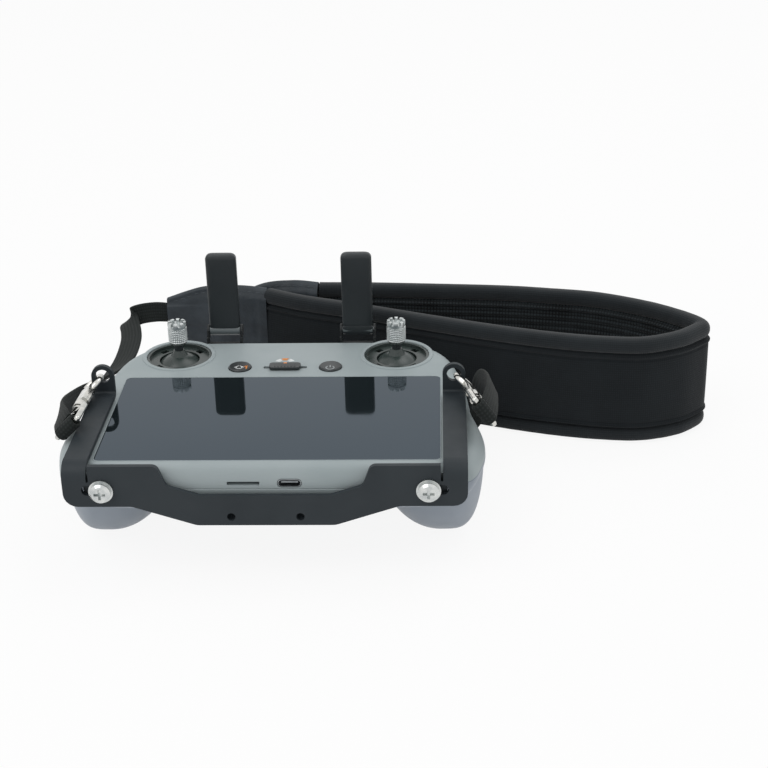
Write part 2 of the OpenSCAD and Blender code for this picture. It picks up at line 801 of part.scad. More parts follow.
crown_notches = 8;
module knob() {
    translate([stick_x, stick_y, face_z + knob_lift]) difference() {
        union() {
            cylinder(r1 = knob_r - 1.9, r2 = knob_r - 0.7, h = 0.8, $fn = 48);
            translate([0, 0, 0.8]) cylinder(r1 = knob_r - 0.7, r2 = knob_r, h = 1.2, $fn = 48);
            translate([0, 0, 2]) cylinder(r = knob_r, h = knob_h - 2);
        }
        translate([0, 0, -1]) cylinder(r = stud_r + 0.03, h = 7.4);
        translate([0, 0, knob_h - 1.5]) cylinder(r = knob_r - 1.6, h = 3);
        for (i = [0 : crown_notches - 1]) rotate((i + 0.5) * 360 / crown_notches)
            translate([1, -0.6, knob_h - 1.5]) cube([knob_r, 1.2, 3]);
    }
}
module left_knob() {
    color("#b9bdbe") mirror([1, 0, 0]) knob();
}
module right_knob() {
    color("#b9bdbe") knob();
}

// ---- shoulder dials, side buttons and back buttons ----

dial_teeth = 24;
module dial() {
    translate([dial_x, dial_y, dial_low]) difference() {
        cylinder(r = dial_r, h = dial_t);
        translate([0, 0, -1]) cylinder(r = axle_r + run_gap, h = 9);
        for (i = [0 : dial_teeth - 1]) rotate(i * 360 / dial_teeth)
            translate([dial_r - 0.5, -0.4, -1]) cube([2, 0.8, 9]);
    }
}
module left_dial() {
    color("#3a4045") mirror([1, 0, 0]) dial();
}
module right_dial() {
    color("#3a4045") dial();
}

module dial_axles() {
    color("#a8adb0") both_sides() translate([dial_x, dial_y, 19.5])
        cylinder(r = axle_r, h = dial_low + dial_t + 0.3 - 19.5);
}

module side_key() {
    translate(side_key_origin()) aim(shoulder_dir, [0, 0, 1]) {
        translate([0, 0, -5.6]) cylinder(r = side_key_r, h = 7.2);
        translate([0, 0, -6.4]) cylinder(r = side_key_r + 0.6, h = 0.9);
    }
}
module record_button() {
    color("#8d3a33") mirror([1, 0, 0]) side_key();
}
module shutter_button() {
    color("#33383b") side_key();
}

module back_key() {
    translate([back_key_x, back_key_y, back_key_low]) {
        cylinder(r = back_key_r, h = back_key_h);
        translate([0, 0, back_key_h - 0.2]) cylinder(r = back_key_r + 0.8, h = 0.9);
    }
}
module left_back_button() {
    color("#33383b") mirror([1, 0, 0]) back_key();
}
module right_back_button() {
    color("#33383b") back_key();
}

// ---- antennas ----

ear_hw = antenna_w / 2 + 0.2;
ear_low = face_z - 7.5;
module hinge_bracket() {
    translate([antenna_x, 0, 0]) difference() {
        union() {
            translate([-ear_hw - ear_t, far_y - 0.9, ear_low])
                cube([2 * (ear_hw + ear_t), 2.2, face_z - 1.6 - ear_low]);
            for (x = [-ear_hw - ear_t, ear_hw]) translate([x, 0, 0]) {
                translate([0, far_y - 0.9, ear_low]) cube([ear_t, 3.4, hinge_z - 2 - ear_low]);
                translate([0, hinge_y, hinge_z]) rotate([0, 90, 0])
                    cylinder(r = knuckle_r, h = ear_t);
                translate([0, far_y + 1, hinge_z - knuckle_r - 1])
                    cube([ear_t, hinge_y - far_y - 1, knuckle_r + 1.8]);
            }
        }
        translate([0, hinge_y, hinge_z]) rotate([0, 90, 0])
            cylinder(r = hinge_pin_r, h = 40, center = true);
        translate([-ear_hw, hinge_y, hinge_z]) rotate([0, 90, 0])
            cylinder(r = knuckle_r + 0.3, h = 2 * ear_hw);
    }
}
module antenna_brackets() {
    color("#1d2123") both_sides() hinge_bracket();
}
// Room in the far wall for the foot of each hinge bracket
module hinge_sockets() {
    both_sides() translate([antenna_x - ear_hw - ear_t - 0.1, far_y - 1, part_z - 5])
        cube([2 * (ear_hw + ear_t) + 0.2, 9, face_z - 1.4 - part_z + 5]);
}

tip_r = 2.4;
module antenna(skirt) {
    translate([antenna_x, hinge_y, hinge_z]) difference() {
        union() {
            rotate([0, 90, 0]) cylinder(r = knuckle_r, h = antenna_w, center = true);
            translate([-antenna_w / 2, -antenna_t / 2, 1.2])
                cube([antenna_w, antenna_t, antenna_h - 1.2 - tip_r]);
            translate([-antenna_w / 2 + tip_r, -antenna_t / 2, 2])
                cube([antenna_w - 2 * tip_r, antenna_t, antenna_h - 2]);
            for (x = [-1, 1]) translate([x * (antenna_w / 2 - tip_r), 0, antenna_h - tip_r])
                rotate([90, 0, 0]) cylinder(r = tip_r, h = antenna_t, center = true);
            if (skirt) translate([-antenna_w / 2, -antenna_t / 2, -1.6])
                cube([antenna_w, 1.1, 4]);
        }
        rotate([0, 90, 0]) cylinder(r = hinge_pin_r + run_gap, h = 40, center = true);
    }
}
module left_antenna() {
    color("#1f2528") mirror([1, 0, 0]) antenna(false);
}
module right_antenna() {
    color("#1f2528") antenna(true);
}

module antenna_pins() {
    color("#a8adb0") both_sides() translate([antenna_x, hinge_y, hinge_z]) rotate([0, 90, 0])
        cylinder(r = hinge_pin_r, h = 2 * (ear_hw + ear_t) - 0.2, center = true);
}

module casing_screws() {
    color("#8d9295") both_sides() for (p = screw_places) translate([p.x, p.y, 0]) {
        translate([0, 0, screw_low - 1.2]) cylinder(r = 2 * screw_r, h = 1.2);
        translate([0, 0, screw_low - 0.5]) cylinder(r = screw_r, h = 11);
    }
}

// ---- harness bracket ----

// A corner of radius r between the directions of its two neighbours
function corner(a, b, c, r) = let (u = unit(a - b), v = unit(c - b), half = acos(u * v) / 2,
        m = b + unit(u + v) * r / sin(half), s = b + u * r / tan(half), e = b + v * r / tan(half),
        a0 = atan2(s.y - m.y, s.x - m.x), a1 = atan2(e.y - m.y, e.x - m.x),
        sweep = (a1 - a0) > 180 ? a1 - a0 - 360 : (a1 - a0) < -180 ? a1 - a0 + 360 : a1 - a0)
    [for (i = [0 : 5]) m + r * [cos(a0 + sweep * i / 5), sin(a0 + sweep * i / 5)]];
function rounded(rows) = let (n = len(rows)) [for (i = [0 : n - 1])
    let (b = rows[i], a = rows[(i + n - 1) % n], c = rows[(i + 1) % n])
    each (b[2] == 0 ? [[b.x, b.y]] : corner([a.x, a.y], [b.x, b.y], [c.x, c.y], b[2]))];

// Right half of the plate: across and up from the plate's own foot, with corner radii
notch_x = arm_x0 - 0.9;
bend_low = arm_top - bend_r;
plate_half = rounded([[0, plate_low, 0], [26.5, plate_low, 8], [51, 31.6, 6],
    [plate_hw, 31.6, 5.4], [plate_hw, bend_low, 0], [arm_x0, bend_low, 0],
    [arm_x0 - 0.45, bend_low - 0.6, 0.3], [notch_x, bend_low, 0], [notch_x, arm_top, 0],
    [40.3, arm_top, 3], [37.2, 40.2, 3], [25, 36.1, 5], [0, 36.1, 0]]);

module flat_plate() {
    translate([0, plate_y + sheet, 0]) rotate([90, 0, 0]) linear_extrude(sheet)
        polygon(plate_half);
}

module arm() {
    // bend from the plate up into the arm
    translate([arm_x0, plate_y + bend_r, arm_top - bend_r]) rotate([0, 90, 0])
        intersection() {
            difference() {
                cylinder(r = bend_r, h = arm_w);
                translate([0, 0, -1]) cylinder(r = bend_r - sheet, h = arm_w + 2);
            }
            translate([-bend_r, -bend_r, 0]) cube([bend_r, bend_r, arm_w]);
        }
    translate([arm_x0, plate_y + bend_r, arm_low])
        cube([arm_w, tab_y - plate_y - bend_r - 1, sheet]);
    // bend from the arm up into the eyelet's tab
    translate([arm_x0, tab_y - 1, arm_top + 1]) rotate([0, 90, 0]) intersection() {
        difference() {
            cylinder(r = 1 + sheet, h = arm_w);
            translate([0, 0, -1]) cylinder(r = 1, h = arm_w + 2);
        }
        translate([0, 0, 0]) cube([1 + sheet, 1 + sheet, arm_w]);
    }
    difference() {
        union() {
            translate([arm_x0, tab_y, arm_top + 1])
                cube([arm_w, sheet, eyelet_z - arm_top - 1]);
            translate([eyelet_x, tab_y + sheet, eyelet_z]) rotate([90, 0, 0])
                cylinder(r = tab_w / 2, h = sheet);
        }
        translate([eyelet_x, 0, eyelet_z]) rotate([90, 0, 0])
            cylinder(r = eyelet_r, h = 99, center = true);
    }
}

module harness_plate() {
    color("#3b4247") difference() {
        union() {
            both_sides() {
                flat_plate();
                arm();
            }
            // tongue bent back under the controller, between the accessory holes
            translate([-tongue_hw, plate_y + sheet - 0.1, plate_low])
                cube([2 * tongue_hw, 14, sheet]);
        }
        both_sides() {
            translate([clamp_x - 1, plate_y - 1, clamp_z - clamp_r - 0.1])
                cube([slot_end - clamp_r - clamp_x + 1, sheet + 2, 2 * clamp_r + 0.2]);
            for (x = [clamp_x - 1, slot_end - clamp_r]) translate([x, plate_y - 1, clamp_z])
                rotate([-90, 0, 0]) cylinder(r = clamp_r + 0.1, h = sheet + 2);
            translate([hole_gap / 2, plate_y - 1, face_z - hole_drop]) rotate([-90, 0, 0])
                cylinder(r = hole_r, h = sheet + 2);
        }
    }
}

nut_t = 1.1;
module nut_plates() {
    color("#7c8286") both_sides() difference() {
        translate([clamp_x, plate_y + sheet, clamp_z]) rotate([-90, 0, 0])
            plate(14, 11, nut_t, 2);
        translate([clamp_x, plate_y, clamp_z]) rotate([-90, 0, 0])
            cylinder(r = clamp_r, h = 9);
    }
}

module clamp_screws() {
    color("#c3c6c7") both_sides() translate([clamp_x, plate_y - washer_t, clamp_z])
        rotate([-90, 0, 0]) difference() {
            union() {
                cylinder(r = clamp_r, h = washer_t + sheet + nut_t + 0.2);
                translate([0, 0, -head_h + 0.9]) cylinder(r = head_r, h = head_h - 0.9);
                translate([0, 0, -head_h]) cylinder(r1 = head_r - 0.9, r2 = head_r, h = 0.9,
                    $fn = 48);
            }
            for (a = [0, 90]) rotate(a) translate([-0.55, -2.2, -head_h - 1])
                cube([1.1, 4.4, 2.6]);
        }
}

module clamp_washers() {
    color("#c3c6c7") both_sides() translate([clamp_x, plate_y - washer_t, clamp_z])
        rotate([-90, 0, 0]) difference() {
            cylinder(r = washer_r, h = washer_t);
            translate([0, 0, -1]) cylinder(r = clamp_r + 0.15, h = 4);
        }
}

// Rubber strips between the bracket and the casing: behind the plate, under the arms and on
// the tongue
module bracket_pads() {
    color("#17191a") {
        both_sides() {
            translate([clamp_x - 21, plate_y + sheet, clamp_z - 5])
                cube([13, plate_gap - loose_gap, 7]);
            translate([arm_x0 + 1, -20, arm_low - pad_strip]) cube([arm_w - 4, 28, pad_strip]);
        }
        translate([-tongue_hw + 1, plate_y + sheet + 4, plate_low + sheet])
            cube([2 * tongue_hw - 2, 9, 0.5]);
    }
}

// ---- snap hooks ----

// The left hook, with a claw through the eyelet: its claw's middle, where its eye ends, and
// the way its eye is turned. The right one is mirrored and hangs a little higher.
claw_off = unit([5.3, -1, -4.7]) * (claw_r + eyelet_r - wire_r - 0.5);
hook_dirs = [[2.7, -35.2, -1.5], [6.6, -34.2, 4.2]];
eye_hints = [[0.7, 0, 0.7], [0.58, 0, 0.81]];
function claw_mid(side) = [side * (eyelet_x + claw_off.x), eyelet_y + claw_off.y,
    eyelet_z + claw_off.z];
function hook_dir(side) = let (d = hook_dirs[side < 0 ? 0 : 1]) [side * d.x, d.y, d.z];
function claw_hint(side) = [-side * claw_off.x, -claw_off.y, -claw_off.z];
function eye_hint(side) = let (d = eye_hints[side < 0 ? 0 : 1]) [-side * d.x, d.y, d.z];

module hook_place(side) {
    translate(claw_mid(side)) aim(hook_dir(side), claw_hint(side)) children();
}
gate_pivot = [-1.9, 7.2];
gate_pin_r = 0.6;
gate_t = 2;
nose_at = -67;
module hook_body() {
    rotate([90, 0, 0]) rotate([0, 0, nose_at - 90]) rotate_extrude(angle = 165 - nose_at)
        translate([claw_r, 0]) circle(r = wire_r);
    difference() {
        union() {
            intersection() {
                translate([0, 0, 3.8]) cylinder(r = 3.2, h = 11.7);
                translate([-4, -1.8, 3.8]) cube([8, 3.6, 11.7]);
            }
            translate([0, 0, 15]) cylinder(r = collar_r, h = 5);
        }
        translate([-5, -gate_t / 2 - 0.15, 2]) cube([4.9, gate_t + 0.3, 7.4]);
        translate([0, 0, 12]) cylinder(r = wire_r + 0.03, h = 9);
        translate([gate_pivot.x, 0, gate_pivot.y]) rotate([90, 0, 0])
            cylinder(r = gate_pin_r, h = 9, center = true);
    }
}
module left_hook() {
    color("#c9cccd") hook_place(-1) hook_body();
}
module right_hook() {
    color("#c9cccd") hook_place(1) hook_body();
}

gate_r = 0.8;
gate_elbow = [-4.2, 3.8];
gate_tip = [-4.1, 0.4];
gate_thumb = [-6.3, 9];
// A flat bar between two places in the plane of the hook, a little longer than their distance
module bar(a, b, r) {
    d = b - a;
    translate(a) rotate(atan2(d.y, d.x)) translate([0, -r]) square([norm(d) + r / 2, 2 * r]);
}
module hook_gate() {
    rotate([90, 0, 0]) linear_extrude(gate_t, center = true) difference() {
        union() {
            translate(gate_pivot) circle(r = 1.5);
            bar(gate_pivot, gate_elbow, gate_r);
            bar(gate_elbow, gate_tip, gate_r);
            bar(gate_pivot, gate_thumb, gate_r);
        }
        translate(gate_pivot) circle(r = gate_pin_r + run_gap);
    }
}
module left_hook_gate() {
    color("#c9cccd") hook_place(-1) hook_gate();
}
module right_hook_gate() {
    color("#c9cccd") hook_place(1) hook_gate();
}

module gate_pins() {
    color("#a8adb0") for (side = [-1, 1]) hook_place(side)
        translate([gate_pivot.x, 0, gate_pivot.y]) rotate([90, 0, 0])
            cylinder(r = gate_pin_r, h = 3.6, center = true);
}

// Swivel eye: a stud in the collar and a rounded loop for the webbing
eye_foot = hook_len - wire_r - 10.4;
module eye_loop() {
    w = eye_w / 2 + wire_r;
    translate([0, 0, 13]) cylinder(r = wire_r, h = eye_foot - 12);
    translate([0, 0, 20.3]) cylinder(r = 2.1, h = 1.6);
    for (z = [eye_foot, hook_len - wire_r]) {
        translate([-w, 0, z]) rotate([0, 90, 0]) cylinder(r = wire_r, h = 2 * w);
        for (x = [-w, w]) translate([x, 0, z]) sphere(r = wire_r, $fn = 24);
    }
    for (x = [-w, w]) translate([x, 0, eye_foot])
        cylinder(r = wire_r, h = hook_len - wire_r - eye_foot);
}
module hook_eyes() {
    color("#c9cccd") for (side = [-1, 1]) translate(claw_mid(side))
        aim(hook_dir(side), eye_hint(side)) eye_loop();
}

// ---- neck strap ----

// The pad's middle line, from the near end round the fold to the far end: foot x and y, then
// head x and y, and the height of its head
pad_line = [
    [-15, 127.5, -15, 128, 50], [2, 118.5, 2, 118.5, 50], [26, 109, 26, 109, 50],
    [47, 100, 47, 100, 50], [68, 91, 68, 91, 50], [87.8, 83, 87.8, 83, 50],
    [104.3, 77, 104.3, 77, 50], [121.3, 71.8, 121.3, 71.8, 50], [138.4, 68.3, 138.4, 68.3, 50],
    [155.5, 67.2, 155.5, 67.2, 50], [171, 72, 171, 73.2, 50], [180.4, 79.6, 180.4, 81, 50],
    [183.4, 85, 183.4, 85.2, 50], [181.2, 90.6, 181.2, 90.6, 50], [174, 98.4, 174, 98.4, 50],
    [161, 108.6, 161, 108.6, 50], [140, 119.5, 140, 119.5, 50], [118, 124.9, 118, 124.9, 50],
    [94.8, 129, 94.8, 129, 50], [57, 132.3, 57, 132.3, 50], [33, 134, 33, 134, 50],
    [9, 134.8, 9, 134.8, 50]];
pad_rows = through(pad_line, 2);
function along(rows, i) = let (a = rows[max(0, i - 1)], b = rows[min(len(rows) - 1, i + 1)])
    unit([b[0] - a[0], b[1] - a[1]]);
// A loop of the pad at row i, from share lo to share hi of its height, thick t
function pad_loop(rows, i, lo, hi, t) = let (r = rows[i], d = along(rows, i), n = [-d.y, d.x],
        foot = [r[0], r[1], 0.2], head = [r[2], r[3], r[4] * pad_h / 50],
        a = foot + (head - foot) * lo, b = foot + (head - foot) * hi, side = [n.x, n.y, 0] * t / 2)
    [a - side, a + side, b + side, b - side];
module pad_band(lo, hi, t) {
    ribbon([for (i = [0 : len(pad_rows) - 1]) pad_loop(pad_rows, i, lo, hi, t)]);
}
edge_share = edge_h / pad_h;
module neck_pad() {
    color("#1e2225") pad_band(edge_share, 1 - edge_share, pad_t);
}
module pad_bindings() {
    color("#24282b") {
        pad_band(0, edge_share, edge_t);
        pad_band(1 - edge_share, 1, edge_t);
    }
}

// Leather ends: x, y, lowest and highest z from the pad out to the webbing
near_leather = [[-17.4, 127.9, 0.4, 50.4], [-28, 129, 0.6, 51.4], [-44, 129.6, 8, 51],
    [-54, 129.6, 20, 48.6], [-64, 129.6, 31.4, 45]];
far_leather = [[8.4, 134.8, 0.4, 50.4], [-4, 136.6, 0.6, 50.8], [-20, 139, 3, 48],
    [-38, 141, 14, 38]];
function leather_loop(rows, i) = let (r = rows[i], d = along(rows, i), n = [-d.y, d.x, 0])
    [[r[0], r[1], r[2]] - n * leather_t / 2, [r[0], r[1], r[2]] + n * leather_t / 2,
     [r[0], r[1], r[3]] + n * leather_t / 2, [r[0], r[1], r[3]] - n * leather_t / 2];
module leather_end(line) {
    rows = through(line, 3);
    ribbon([for (i = [0 : len(rows) - 1]) reverse(leather_loop(rows, i))]);
}
module leather_ends() {
    color("#2f363c") {
        leather_end(near_leather);
        leather_end(far_leather);
    }
}

// Webbing: places by hand, each with the way its width points
left_web = [
    [-64.4, 129.6, 37.6, 0, 0, 1], [-70, 129.6, 37.8, 0, 0.1, 1], [-77, 129.2, 37, 0.15, 0.2, 1],
    [-81.4, 127.4, 35.8, 0.5, 0.4, 0.75], [-81.8, 122.4, 35.2, 0.85, 0.35, 0.4],
    [-79.6, 114, 34.8, 1, 0.1, 0.2], [-77.8, 104, 34.4, 1, 0, 0.1], [-77, 90, 34.2, 1, 0, 0.1],
    [-77.4, 78, 34.4, 1, 0, 0.2], [-79.4, 66, 35, 0.9, 0, 0.4], [-83.8, 50, 36, 0.6, 0, 0.8],
    [-87, 37, 38, 0.2, 0, 1], [-88.4, 24, 41, 0.1, 0.2, 1], [-88.4, 12, 44.4, 0.1, 0.2, 1],
    [-87.4, 2, 47, 0.2, 0.2, 1], [-85.4, -7, 50, 0.45, 0, 0.9], [-83, -14, 52, 0.6, 0, 0.8],
    [-81.3, -18.4, 52.4, 0.7, 0, 0.7]];
right_web = [
    [85.4, -17.2, 57.8, -0.58, 0, 0.81], [86.4, -11, 58, -0.5, 0, 0.86], [87.2, -2, 57, -0.4, 0, 0.9],
    [87.4, 10, 54.6, -0.4, 0.1, 0.9], [86.6, 22, 51, -0.4, 0.1, 0.9], [85.4, 34, 46, -0.5, 0.1, 0.85],
    [84.6, 46, 38, -0.7, 0.3, 0.6], [83.4, 55, 27, -0.8, 0.4, 0.3], [80.6, 62, 14, -0.8, 0.6, 0],
    [74, 68, 5, -0.5, 0.8, 0], [62, 72, 1.2, -0.2, 1, 0], [44, 76, 1, -0.2, 1, 0],
    [22, 82, 1, -0.4, 0.9, 0], [-4, 92, 1, -0.4, 0.9, 0], [-30, 104, 1, -0.5, 0.9, 0],
    [-50, 118, 1, -0.8, 0.6, 0], [-60, 134, 1.2, -1, 0, 0], [-60.5, 146, 4, -0.9, -0.3, 0.3],
    [-54, 148, 13, -0.5, 0, 0.8], [-46, 144.5, 24.4, 0, 0, 1], [-38.4, 141.2, 25.6, 0, 0, 1]];
// The hook's end of the webbing goes where the claw goes, and fades out to where it lies still
claw_home = [76.93, 16.6, 52.26];
web_held_y = 10;
web_free_y = 60;
function held(y) = max(0, min(1, (web_free_y - y) / (web_free_y - web_held_y)));
function follow_claw(rows, side) = let (m = claw_mid(side),
        shift = m - [side * claw_home.x, claw_home.y, claw_home.z])
    [for (r = rows) [r[0] + shift.x * held(r[1]), r[1] + shift.y * held(r[1]),
        r[2] + shift.z * held(r[1]), r[3], r[4], r[5]]];
function web_loop(rows, i) = let (a = rows[max(0, i - 1)], b = rows[min(len(rows) - 1, i + 1)],
        d = unit([b[0] - a[0], b[1] - a[1], b[2] - a[2]]),
        w0 = [rows[i][3], rows[i][4], rows[i][5]], w = unit(w0 - (w0 * d) * d), n = cross(d, w),
        p = [rows[i][0], rows[i][1], rows[i][2]], h = w * web_w / 2, t = n * web_t / 2)
    [p - h - t, p - h + t, p + h + t, p + h - t];
module webbing(line) {
    rows = through(line, 2);
    ribbon([for (i = [0 : len(rows) - 1]) web_loop(rows, i)]);
}
// The sewn loop round the bar of a hook's eye
module web_eye(side) {
    translate(claw_mid(side)) aim(hook_dir(side), eye_hint(side))
        translate([0, 0, hook_len - wire_r]) rotate([0, 90, 0]) difference() {
            cylinder(r = wire_r + 0.3 + web_t, h = web_w, center = true);
            cylinder(r = wire_r + 0.3, h = web_w + 2, center = true);
        }
}
module left_webbing() {
    color("#2b2f2f") {
        webbing(follow_claw(left_web, -1));
        web_eye(-1);
    }
}
module right_webbing() {
    color("#2b2f2f") {
        webbing(follow_claw(right_web, 1));
        web_eye(1);
    }
}

top_shell();
bottom_shell();
cover_glass();
display_panel();
mid_frame();
main_board();
shield_cans();
heat_sink();
fan_frame();
fan_rotor();
battery_cells();
cell_saddles();
speaker();
port_board();
usb_socket();
card_socket();
key_board();
tact_switches();
home_button();
power_button();
mode_slider();
left_gimbal_housing();
right_gimbal_housing();
gimbal_covers();
left_gimbal_yoke();
right_gimbal_yoke();
left_stick_shaft();
right_stick_shaft();
left_stick_dome();
right_stick_dome();
left_knob();
right_knob();
left_dial();
right_dial();
dial_axles();
record_button();
shutter_button();
left_back_button();
right_back_button();
antenna_brackets();
left_antenna();
right_antenna();
antenna_pins();
casing_screws();
harness_plate();
nut_plates();
clamp_screws();
clamp_washers();
bracket_pads();
left_hook();
right_hook();
left_hook_gate();
right_hook_gate();
gate_pins();
hook_eyes();
neck_pad();
pad_bindings();
leather_ends();
left_webbing();
right_webbing();
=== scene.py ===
"""Looks of a handheld drone controller with a screen, clamped in a harness bracket that hangs by
two snap hooks from a padded neck strap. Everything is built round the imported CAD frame, in metres;
the sizes below are in millimetres where a comment says so."""

import math

import bmesh
import bpy
import numpy as np
from bpy.props import FloatProperty, FloatVectorProperty, IntProperty, PointerProperty
from mathutils import Matrix, Vector
from mathutils.bvhtree import BVHTree


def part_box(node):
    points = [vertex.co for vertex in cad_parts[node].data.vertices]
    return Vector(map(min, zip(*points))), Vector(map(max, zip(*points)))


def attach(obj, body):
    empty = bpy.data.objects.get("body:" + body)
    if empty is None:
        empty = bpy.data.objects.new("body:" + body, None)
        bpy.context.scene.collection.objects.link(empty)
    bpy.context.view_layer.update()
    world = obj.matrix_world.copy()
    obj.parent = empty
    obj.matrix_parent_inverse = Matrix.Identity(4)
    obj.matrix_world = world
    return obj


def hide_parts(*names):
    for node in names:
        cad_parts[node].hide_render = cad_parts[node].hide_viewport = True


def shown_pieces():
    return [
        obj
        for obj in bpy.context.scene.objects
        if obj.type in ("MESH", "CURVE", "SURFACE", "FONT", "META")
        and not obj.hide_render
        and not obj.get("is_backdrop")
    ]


bl_info = {
    "name": "Drone controller on a neck harness",
    "version": (1, 0, 0),
    "blender": (4, 5, 0),
    "location": "View3D > Sidebar > Controller",
    "description": "Builds the visible surfaces of a controller, its bracket and its strap",
    "category": "Add Mesh",
}

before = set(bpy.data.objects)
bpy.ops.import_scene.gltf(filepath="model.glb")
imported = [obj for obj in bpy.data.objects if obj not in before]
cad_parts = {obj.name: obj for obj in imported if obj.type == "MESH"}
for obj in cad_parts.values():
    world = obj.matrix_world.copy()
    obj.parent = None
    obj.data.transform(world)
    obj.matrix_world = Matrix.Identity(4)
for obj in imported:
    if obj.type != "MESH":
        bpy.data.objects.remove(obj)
MM = 0.001
WORDS = {-1: "left", 1: "right"}

# ---------------------------------------------------------------- image points and camera

# Places in the photograph, 768 by 768: the object's edges, and what the camera was set by
PHOTO = 768
POINTS = {
    "left": (54.5, None), "right": (711.5, None), "top": (None, 252.5), "bottom": (None, 530.5),
    "glass_near_left": (92.6, 460.8), "glass_near_right": (440.5, 459.5),
    "glass_far_right": (440.1, 376.2), "glass_far_left": (127.4, 378.0),
    "left_screw": (100, 491), "right_screw": (428.5, 490),
    "home_print": (240.5, 367), "power_print": (330, 367.5), "slider_print": (285, 360.5),
    "left_knob": (176.5, 329), "right_knob": (396, 328.5),
}

CAMERA_PLACE = (0.06673, -0.5609, 0.3262)
CAMERA_YAW, CAMERA_PITCH, CAMERA_ROLL = 2.29975, 25.35632, -1.30241
CAMERA_LENS, CAMERA_SENSOR = 73.23, 36.0


def make_camera():
    """The photograph's camera: it looks along +Y, is turned left, tipped down and rolled."""
    data = bpy.data.cameras.new("camera")
    data.sensor_fit = "AUTO"
    data.sensor_width, data.lens = CAMERA_SENSOR, CAMERA_LENS
    data.clip_start, data.clip_end = 0.02, 20
    eye = bpy.data.objects.new("camera", data)
    turn = (Matrix.Rotation(math.radians(CAMERA_YAW), 4, "Z")
            @ Matrix.Rotation(math.radians(90 - CAMERA_PITCH), 4, "X")
            @ Matrix.Rotation(math.radians(CAMERA_ROLL), 4, "Z"))
    eye.matrix_world = Matrix.Translation(CAMERA_PLACE) @ turn
    bpy.context.scene.collection.objects.link(eye)
    bpy.context.scene.camera = eye
    bpy.context.view_layer.update()
    return eye


def seen_at(places):
    """Where places in metres, as (n, 3), show in the photograph's frame."""
    eye = bpy.context.scene.camera
    local = np.asarray(places) @ np.array(eye.matrix_world.inverted())[:3, :3].T
    local = local + np.array(eye.matrix_world.inverted())[:3, 3]
    scale = PHOTO * CAMERA_LENS / CAMERA_SENSOR / -local[:, 2]
    return np.stack([PHOTO / 2 + local[:, 0] * scale, PHOTO / 2 - local[:, 1] * scale], -1)


def place_on(point, *carriers):
    """Where the ray through an image point meets the carriers: the place, and the face's normal. A
    miss takes the carriers' place nearest the ray."""
    eye = bpy.context.scene.camera
    x, y = point
    ray = Vector((x - PHOTO / 2, PHOTO / 2 - y, -PHOTO * CAMERA_LENS / CAMERA_SENSOR))
    start, way = eye.matrix_world.translation, (eye.matrix_world.to_3x3() @ ray).normalized()
    hits = []
    for carrier in carriers:
        tree = BVHTree.FromObject(carrier, bpy.context.evaluated_depsgraph_get())
        place, normal, _, far = tree.ray_cast(start, way)
        if place is None:
            steps = [tree.find_nearest(start + way * d) for d in np.linspace(0.3, 0.9, 200)]
            place, normal, _, far = min(steps, key=lambda s: s[3])
            far += 10
        hits.append((far, place, normal))
    return min(hits, key=lambda hit: hit[0])[1:]


# ---------------------------------------------------------------- settings

class ControllerSizes(bpy.types.PropertyGroup):
    """Sizes of the detail that the CAD frame leaves to the looks."""

    seam: FloatProperty(name="Casing seam", description="Width of the groove between the halves",
                        default=0.25 * MM, unit="LENGTH")
    knurl_depth: FloatProperty(name="Knurl depth", description="Depth of the knobs' knurling",
                               default=0.24 * MM, unit="LENGTH")
    knurl_count: IntProperty(name="Knurl count", description="Knurls round a knob", default=28)
    rib_depth: FloatProperty(name="Rib depth", description="Depth of the ribs in the pad's mesh",
                             default=0.4 * MM, unit="LENGTH")
    rib_pitch: FloatProperty(name="Rib pitch", description="Distance between the mesh's ribs",
                             default=2.9 * MM, unit="LENGTH")
    stitch: FloatProperty(name="Stitch", description="Length of a stitch in the leather",
                          default=2.4 * MM, unit="LENGTH")


class ControllerColours(bpy.types.PropertyGroup):
    """Colours of the light, in linear values."""

    backdrop: FloatVectorProperty(name="Backdrop", description="What the camera sees behind",
                                  default=(1, 1, 1), subtype="COLOR", size=3)
    fill: FloatProperty(name="Fill", description="Strength of the even light", default=0.62)
    key: FloatProperty(name="Key", description="Power of the main lamp", default=4.2,
                       unit="POWER")


# ---------------------------------------------------------------- materials

def linear(code):
    """A colour as linear light from its sRGB hex code."""
    srgb = np.array([int(code[i:i + 2], 16) for i in (1, 3, 5)]) / 255
    light = np.where(srgb <= 0.04045, srgb / 12.92, ((srgb + 0.055) / 1.055) ** 2.4)
    return (*light.tolist(), 1.0)


def add(tree, kind, ins=None, **settings):
    """Adds one node with its settings; ins gives its inputs, as values or as other sockets."""
    made = tree.nodes.new(kind)
    for key, value in settings.items():
        setattr(made, key, value)
    for key, value in (ins or {}).items():
        if isinstance(value, bpy.types.NodeSocket):
            tree.links.new(value, made.inputs[key])
        else:
            made.inputs[key].default_value = value
    return made


def finish_of(name, values):
    """A new material with values on its Principled shader; gives the material, tree and shader."""
    made = bpy.data.materials.new(name)
    made.use_nodes = True
    shader = made.node_tree.nodes["Principled BSDF"]
    for key, value in values.items():
        shader.inputs[key].default_value = value
    return made, made.node_tree, shader


def noise(tree, size, detail=3, stretch=(1, 1, 1), source="Object"):
    """Soft noise whose features are size mm across, on Object coordinates or the UV map."""
    place = add(tree, "ShaderNodeTexCoord").outputs[source]
    scaled = add(tree, "ShaderNodeMapping", {"Vector": place, "Scale": stretch})
    return add(tree, "ShaderNodeTexNoise", {"Vector": scaled.outputs[0], "Scale": 1 / (size * MM),
                                            "Detail": detail}).outputs["Fac"]


